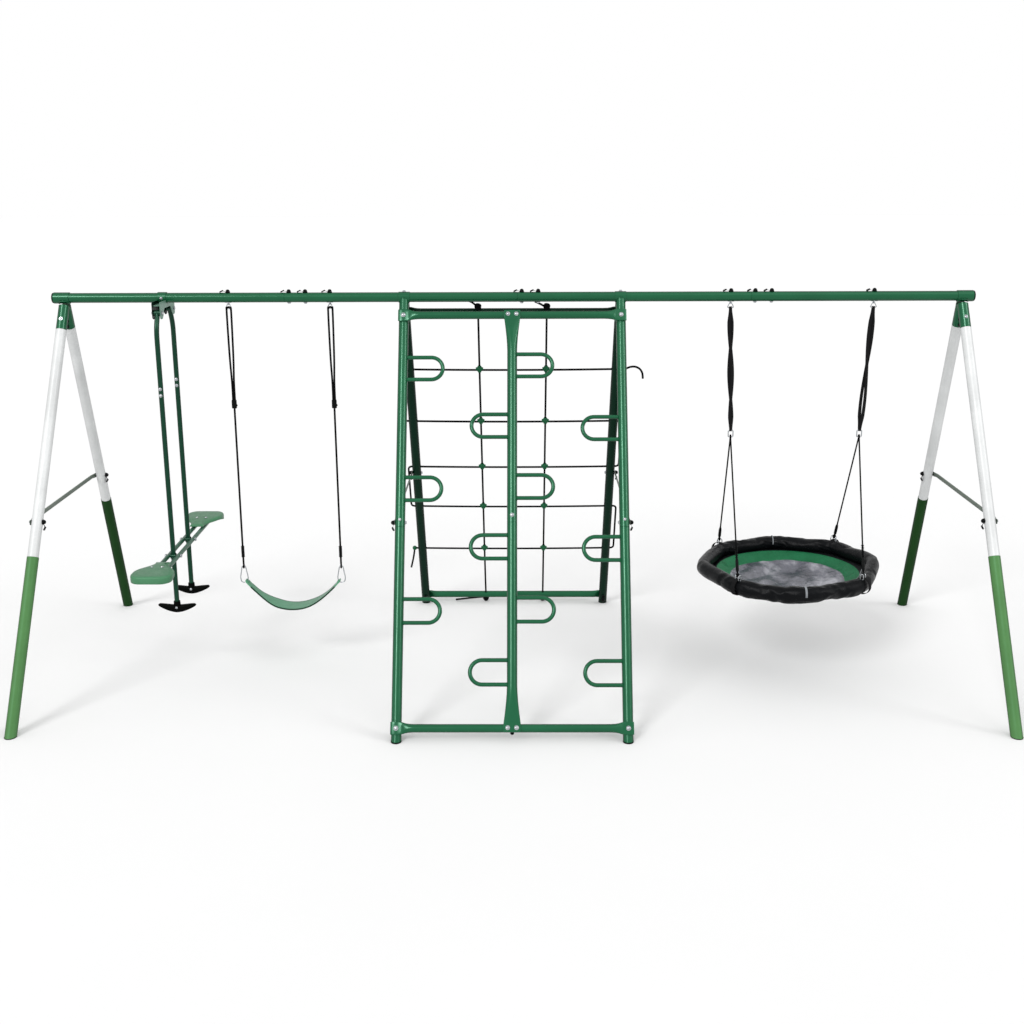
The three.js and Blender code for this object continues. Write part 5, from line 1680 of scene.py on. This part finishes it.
def saucer_strap(name, side):
    """Doubled webbing from the hanger ring to a wire link."""
    top_x, bottom_x = SAUCER.x + side * SAUCER_HOOK, SAUCER.x + side * SAUCER_RING
    top, bottom = Vector((top_x, 0, RING_BASE + 0.0006)), Vector((bottom_x, 0, SAUCER_APEX + 0.034))
    down = (bottom - top).normalized()
    across = Y_AXIS.cross(down).normalized()
    rows_front, rows_back = [], []
    steps = 80
    width, thick = 0.0088, 0.0009
    phase, turns = (0.6, 1.25) if side < 0 else (0.3, 0.9)
    for i in range(steps + 1):
        t = i / steps
        centre = top.lerp(bottom, t)
        held = min(1, 9 * t, 9 * (1 - t))
        part = 0.0020 + 0.0030 * held
        drift = 0.0088 * held * math.sin(2 * math.pi * turns * t + phase)
        twist = 0.22 * math.sin(2 * math.pi * t + side)
        turned_across = across * math.cos(twist) + Y_AXIS * math.sin(twist)
        outward = turned_across.cross(down).normalized()
        for rows, way in ((rows_front, 1), (rows_back, -1)):
            middle_line = centre + turned_across * (drift * way) + outward * (part * way)
            rows.append(
                [
                    middle_line + turned_across * a + outward * b
                    for a, b in webbing_section(width, thick)
                ]
            )
    shape = Shape()
    shape.rows(rows_front, caps=(True, True))
    shape.rows(rows_back, caps=(True, True))
    for end, centre in ((0, top), (1, bottom)):
        wrap = []
        for i in range(13):
            angle = math.pi * i / 12
            lift = (down * -1 if end == 0 else down) * math.sin(angle) * 0.0038
            wrap.append(
                [
                    centre + lift + Y_AXIS * (math.cos(angle) * 0.0031) + across * a + (
                        Y_AXIS * math.cos(angle) + lift.normalized() * math.sin(angle)
                    ) * b
                    for a, b in webbing_section(width, thick)
                ]
            )
        shape.rows(wrap, caps=(True, True))
    for share in (0.035, 0.94):
        stitches(shape, top.lerp(bottom, share), across, down, width)
    node = f"saucer_strap_{name}"
    strap = make_piece(f"{node}_webbing", shape, "saucer_straps", WEBBING, [node])
    wire = Shape()
    hanger_triangle(wire, top_x)
    low, high = SAUCER_APEX, SAUCER_APEX + 0.034
    half = 0.0125
    corners = [(0, high), (-half, high), (-half, low), (half, low), (half, high), (0, high)]
    path = fillet([Vector((bottom_x + dx, 0, z)) for dx, z in corners], 0.006, 6)
    wire.tube(path[:-1], 0.0029, 14, closed=True)
    make_piece(f"{node}_links", wire, "saucer_straps", ZINC)


def webbing_section(half_width, half_thickness):
    ends = []
    for side in (1, -1):
        for i in range(5):
            angle = -math.pi / 2 + math.pi * i / 4
            across = half_width - half_thickness + half_thickness * math.cos(angle)
            ends.append((side * across, side * half_thickness * math.sin(angle)))
    return ends


def stitches(shape, centre, across, down, width):
    """A box of thread where a strap's end is sewn down."""
    for way in (-1, 1):
        for k in range(7):
            at = centre + across * (way * width * 0.62) + down * (k * 0.0045 - 0.0135) - Y_AXIS * 0.0058
            shape.ball(at, 0.0011, 0.8, down, 4, 6)


def saucer_rope(name, side):
    apex = Vector((SAUCER.x + side * SAUCER_RING, 0, SAUCER_APEX))
    node = f"saucer_rope_{name}"
    eye = Shape().ring(apex, X_AXIS, 0.0090, 0.0040, 36, 14)
    links, bands = Shape(), Shape()
    for row_name, row in ROWS:
        corner = saucer_corner(side, row)
        band_r = RIM_TUBE + 0.0036
        top = corner + Z_AXIS * (band_r + 0.012)
        start = apex + Vector((0, row * 0.006, -0.008))
        path = spaced([start, top], ROPE_STEP)
        rope = make_piece(
            f"{node}_{row_name}", Shape().tube(path, SAUCER_ROPE_R, 16), "saucer", ROPE,
            [node] if row < 0 else []
        )
        fittings = Shape()
        along = (start - top).normalized()
        sleeve = [(0, 0), (0.0062, 0), (0.0082, 0.008), (0.0082, 0.052), (0.0060, 0.068), (0, 0.068)]
        fittings.turned(top + along * 0.026, along, sleeve, 24)
        if row < 0:
            for turn in range(7):
                fittings.ring(top + along * (0.100 + 0.0095 * turn), along, 0.0058, 0.0026, 20, 8)
        small_eye = top + along * 0.008
        fittings.ring(small_eye, X_AXIS * 0.7 + Y_AXIS * (0.7 * side * row), 0.0085, 0.0036, 28, 12)
        sleeves = make_piece(f"{node}_{row_name}_sleeve", fittings, "saucer", CAP_PLASTIC)
        inward = (Vector((SAUCER.x, 0, SAUCER.z)) - corner).normalized()
        tangent = inward.cross(Z_AXIS).normalized()
        for way in (-1, 1):
            centre = corner + Z_AXIS * (band_r + 0.004) + tangent * (way * 0.012) + inward * 0.002
            link_path = oval(centre, (inward + tangent * (way * 0.35)).normalized(), Z_AXIS, 0.0085, 0.016)
            links.tube(link_path, 0.0026, 12, closed=True)
        rows = []
        for i in range(48):
            angle = 2 * math.pi * i / 48
            radial = inward * math.cos(angle) + Z_AXIS * math.sin(angle)
            rows.append(
                [
                    corner + radial * (band_r + b) + tangent * a
                    for a, b in webbing_section(0.0115, 0.0010)
                ]
            )
        bands.rows(rows, along=True)
    make_piece(f"{node}_apex_eye", eye, "saucer", ROPE)
    make_piece(f"{node}_rings", links, "saucer", ZINC)
    make_piece(f"{node}_bands", bands, "saucer", WEBBING)


def oval(centre, across, up, half_width, half_height):
    return [
        centre + across * (math.cos(a) * half_width) + up * (math.sin(a) * half_height)
        for a in angles(32)
    ]


def rim_radius(angle):
    """The rim's centreline: eight straight runs with soft corners, which lie on the axes and diagonals."""
    step = math.pi / 4
    offset = (angle + step / 2) % step - step / 2
    straight = RIM_RADIUS * math.cos(step / 2) / math.cos(step / 2 - abs(offset))
    soften = 0.012 * math.exp(-((offset / 0.09) ** 2))
    return straight - soften + 0.003


def bump_round(angle, centre_degrees, width_degrees):
    """1 at an angle round the rim, falling smoothly to 0 on both sides of it."""
    away = (math.degrees(angle) - centre_degrees + 180) % 360 - 180
    return math.exp(-((away / width_degrees) ** 2))


def rim_lift(angle):
    """How far the padded rim stands above or below its level round the saucer."""
    lift = 0.026 * bump_round(angle, 0, 28) + 0.014 * bump_round(angle, 45, 26)
    lift = lift + 0.006 * bump_round(angle, 90, 30)
    return lift - 0.008 * bump_round(angle, 245, 24)


def rim_centre(angle):
    outward = Vector((math.cos(angle), math.sin(angle), 0))
    return SAUCER + outward * rim_radius(angle) + Z_AXIS * rim_lift(angle), outward


def simulated(shape, held, frames, pressure=0.0, gravity=0.0, spare=0.0, cap=0.01, stiffness=15):
    """The shape's points after a cloth simulation that holds some; none moves further than the cap."""
    mesh = bpy.data.meshes.new("simulated")
    mesh.from_pydata([tuple(point) for point in shape.points], [], shape.faces)
    turn_faces_out(mesh)
    work = bpy.data.objects.new("simulated", mesh)
    bpy.context.scene.collection.objects.link(work)
    work.vertex_groups.new(name="held").add(held, 1.0, "REPLACE")
    cloth = work.modifiers.new("cloth", "CLOTH")
    settings = cloth.settings
    settings.quality = 6
    settings.mass = 0.25
    settings.tension_stiffness = stiffness
    settings.compression_stiffness = stiffness
    settings.shear_stiffness = stiffness / 3
    settings.bending_stiffness = 0.4
    settings.vertex_group_mass = "held"
    settings.shrink_min = -spare
    settings.effector_weights.gravity = gravity
    if pressure:
        settings.use_pressure = True
        settings.uniform_pressure_force = pressure
    cloth.point_cache.frame_start = 1
    cloth.point_cache.frame_end = frames
    for number in range(1, frames + 1):
        bpy.context.scene.frame_set(number)
    settled = work.evaluated_get(bpy.context.evaluated_depsgraph_get()).data.vertices
    points = []
    for start, vertex in zip(shape.points, settled):
        step = vertex.co - start
        points.append(start + step * min(1, cap / max(step.length, 1e-9)))
    bpy.data.objects.remove(work)
    bpy.context.scene.frame_set(1)
    return points


def saucer_rim():
    """The padded rim: foam under a cloth cover, inflated by simulation between the places that grip it."""
    rows, held = [], []
    steps, sides = 224, 36
    for i in range(steps):
        angle = 2 * math.pi * i / steps
        centre, outward = rim_centre(angle)
        grip = max(bump_round(angle, degrees, 2.2) for degrees in RIM_GRIPS)
        row = []
        for k in range(sides):
            turn = 2 * math.pi * k / sides
            direction = outward * math.cos(turn) + Z_AXIS * math.sin(turn)
            place = centre + direction * RIM_TUBE
            soft = noise.noise(place * 7) * 0.0026 + noise.noise(place * 24 + Vector((3, 1, 7))) * 0.0010
            gather = 0.0016 * math.sin(turn * 11 + i * 0.5) * max(bump_round(angle, d, 7) for d in RIM_GRIPS)
            below = max(0, -math.sin(turn)) ** 2
            bag = below * (0.006 + 0.012 * bump_round(angle, 252, 26) + 0.006 * bump_round(angle, 300, 14))
            thick = RIM_TUBE * (0.97 - 0.07 * grip) + soft + gather
            row.append(centre + direction * thick - Z_AXIS * bag)
        rows.append(row)
        if grip > 0.4:
            held.extend(range(i * sides, (i + 1) * sides))
    shape = Shape().rows(rows, along=True)
    shape.points = simulated(shape, held, 14, pressure=4, spare=0.028, cap=0.005)
    rim = make_piece("saucer_rim_cover", shape, "saucer", COVER, ["saucer_rim"], sharp=70)
    smooth_and_apply(rim)
    trims()


def trims():
    """A pale cord along the front half of the rim's inner top edge, a painted highlight line, and the pale
    strips that show at its two seams.
    """
    highlight_cord, strips = Shape(), Shape()
    path = []
    for i in range(121):
        angle = math.radians(192 + 150 * i / 120)
        centre, outward = rim_centre(angle)
        turn = math.radians(150)
        path.append(centre + (outward * math.cos(turn) + Z_AXIS * math.sin(turn)) * (RIM_TUBE + 0.0012))
    highlight_cord.tube(path, 0.0019, 8)
    for degrees, reach in ((90, 0.0030), (270, 0.0055)):
        centre, outward = rim_centre(math.radians(degrees))
        tangent = outward.cross(Z_AXIS)
        rows = []
        for k in range(32):
            turn = math.radians(-8 + 190 * k / 31)
            radial = outward * math.cos(turn) + Z_AXIS * math.sin(turn)
            rows.append(
                [
                    centre + radial * (RIM_TUBE - 0.0006 + b) + tangent * a
                    for a, b in webbing_section(reach, 0.0010)
                ]
            )
        strips.rows(rows, caps=(True, True))
    make_piece("saucer_rim_highlight_cord", highlight_cord, "saucer", PALE_TRIM_AND_HIGHLIGHT)
    make_piece("saucer_rim_seam_strips", strips, "saucer", PALE_TRIM_AND_HIGHLIGHT)


def mat_material():
    """Coated cloth: a grey middle with painted light and dark streaks of fold sheen and shade and a shiny
    crumpled skin, and a green border.
    """
    finish = Finish("mat_cloth")
    place = finish.node("ShaderNodeMapping")
    place.inputs["Location"].default_value = (-SAUCER.x, 0, 0)
    finish.link(finish.place.outputs["Object"], place.inputs["Vector"])
    flat = finish.node("ShaderNodeVectorMath", operation="MULTIPLY")
    flat.inputs[1].default_value = (1, 1, 0)
    finish.link(place.outputs["Vector"], flat.inputs[0])
    distance = finish.node("ShaderNodeVectorMath", operation="LENGTH")
    finish.link(flat.outputs["Vector"], distance.inputs[0])
    border = finish.range(distance.outputs["Value"], 0, 1, 0.3015, 0.3035)
    skirt = finish.range(distance.outputs["Value"], 0, 1, MAT_RADIUS - 0.006, MAT_RADIUS - 0.004)
    # Light and dark streaks in the grey: painted sheen and shade of folds.
    fold_sheen_and_shade = finish.noise(7, 5, 0.6, stretch=(1.0, 0.45, 1.0))
    grey = finish.ramp(
        fold_sheen_and_shade,
        [(0.34, (0.030, 0.032, 0.044)), (0.5, (0.085, 0.087, 0.108)), (0.64, (0.27, 0.27, 0.30))]
    )
    green = finish.ramp(
        finish.noise(14, 5, 0.6), [(0.3, (0.007, 0.088, 0.034)), (0.7, (0.011, 0.118, 0.048))]
    )
    color = finish.blend(skirt, finish.blend(border, grey, green), (0.003, 0.0034, 0.004))
    gloss = finish.range(border, 0.17, 0.45)
    warp = finish.wave(band_scale(0.0018), 0.3, "X")
    weft = finish.wave(band_scale(0.0018), 0.3, "Y")
    low = finish.bump(finish.noise(8, 5, 0.6), 0.022, 0.6)
    fine = finish.bump(finish.noise(30, 5, 0.65), 0.004, 0.4, low)
    normal = finish.bump(finish.math("MULTIPLY", warp, weft), 0.0003, 0.4, fine)
    return finish.set(
        Base_Color=color, Roughness=gloss, Normal=normal,
        Specular_IOR_Level=finish.range(border, 0.5, 0.12)
    )


def saucer_mat():
    """A cloth on a skirt under the rim, let down by simulation with a little to spare for folds."""
    rings, spokes, sag = 34, 112, 0.044
    rows = []
    for inward, drop in ((0.004, 0.040), (0.018, 0.0365), (0.030, 0.0300)):
        row = []
        for a in angles(spokes):
            centre, outward = rim_centre(a)
            row.append(centre - outward * inward - Z_AXIS * drop)
        rows.append(row)
    for i in range(rings, 0, -1):
        share = i / rings
        level = MAT_EDGE - 0.004 - sag * (1 - share**2)
        row = []
        for a in angles(spokes):
            x, y = math.cos(a) * MAT_RADIUS * share, math.sin(a) * MAT_RADIUS * share
            slack = 1 - share**4
            ridge = noise.noise(Vector((x * 6 + y * 4, y * 3, 2.5))) * 0.014 * slack
            ridge += abs(noise.noise(Vector((x * 9 - y * 5, y * 4 + x, 6.5)))) * 0.022 * slack - 0.004 * slack
            row.append(Vector((SAUCER.x + x, y, level + ridge + rim_lift(a) * 0.35 * share**2)))
        rows.append(row)
    shape = Shape().rows(rows, caps=(False, True))
    held = list(range(5 * spokes))
    shape.points = simulated(shape, held, 24, gravity=0.35, spare=0.035, cap=0.020, stiffness=12)
    mat = make_piece(
        "saucer_mat_cloth", shape, "saucer", mat_material(), ["saucer_mat"], sharp=80
    )
    skin = mat.modifiers.new("skin", "SOLIDIFY")
    skin.thickness = 0.0016
    skin.offset = 0
    smooth_and_apply(mat)


def smooth_and_apply(piece):
    """Adds one round of smoothing, then writes all the piece's modifiers into its mesh."""
    smooth_skin = piece.modifiers.new("smooth_skin", "SUBSURF")
    smooth_skin.levels = 1
    smooth_skin.render_levels = 1
    graph = bpy.context.evaluated_depsgraph_get()
    mesh = bpy.data.meshes.new_from_object(piece.evaluated_get(graph))
    piece.modifiers.clear()
    piece.data = mesh


def saucer():
    for name, side in SIDES:
        saucer_strap(name, side)
        saucer_rope(name, side)
    saucer_rim()
    saucer_mat()


# ---------------------------------------------------------------- studio
# Each light's name, the place it shines from, its width in degrees, and its strength.
LIGHTS = (
    ("key", (-3.4, -5.6, 4.6), 20, 1.75), ("side", (5.8, -2.4, 3.4), 20, 0.75),
    ("fill", (3.0, -4.0, 7.0), 35, 0.25)
)
WORLD_STRENGTH = 1.0


def floor_grey():
    """The floor's reflectance at which it is as bright as the plain studio behind it."""
    lit = 0
    for _, place, _, strength in LIGHTS:
        lit += strength * Vector(place).normalized().z / math.pi
    return WORLD_STRENGTH / (WORLD_STRENGTH + lit)


def studio():
    finish = Finish("studio_floor")
    grey = floor_grey()
    tone = finish.ramp(finish.noise(0.6, 3), [(0.3, (grey * 1.004,) * 3), (0.7, (grey * 1.018,) * 3)])
    floor_material = finish.set(Base_Color=tone, Roughness=0.9, Specular_IOR_Level=0.0)
    reach = 60
    mesh = bpy.data.meshes.new("studio_floor")
    mesh.from_pydata(
        [(-reach, -reach, 0), (reach, -reach, 0), (reach, reach, 0), (-reach, reach, 0)], [],
        [(0, 1, 2, 3)]
    )
    mesh.materials.append(floor_material)
    floor = bpy.data.objects.new("studio_floor", mesh)
    bpy.context.scene.collection.objects.link(floor)

    world = bpy.data.worlds.new("studio_world")
    world.use_nodes = True
    background = world.node_tree.nodes["Background"]
    background.inputs["Color"].default_value = (1, 1, 1, 1)
    background.inputs["Strength"].default_value = WORLD_STRENGTH
    bpy.context.scene.world = world

    for name, place, degrees, strength in LIGHTS:
        add_light(name, place, degrees, strength)
    bpy.context.scene.view_settings.view_transform = "Standard"


def add_light(name, place, degrees, strength):
    """A distant soft light that shines from a place towards the middle of the set."""
    data = bpy.data.lights.new(name, "SUN")
    data.angle = math.radians(degrees)
    data.energy = strength
    light = bpy.data.objects.new(name, data)
    light.rotation_euler = (-Vector(place)).to_track_quat("-Z", "Y").to_euler()
    bpy.context.scene.collection.objects.link(light)


climbing_net()
belt_swing()
saucer()
beam()
swing_hooks()
a_frames()
climbing_frame()
glider()
studio()
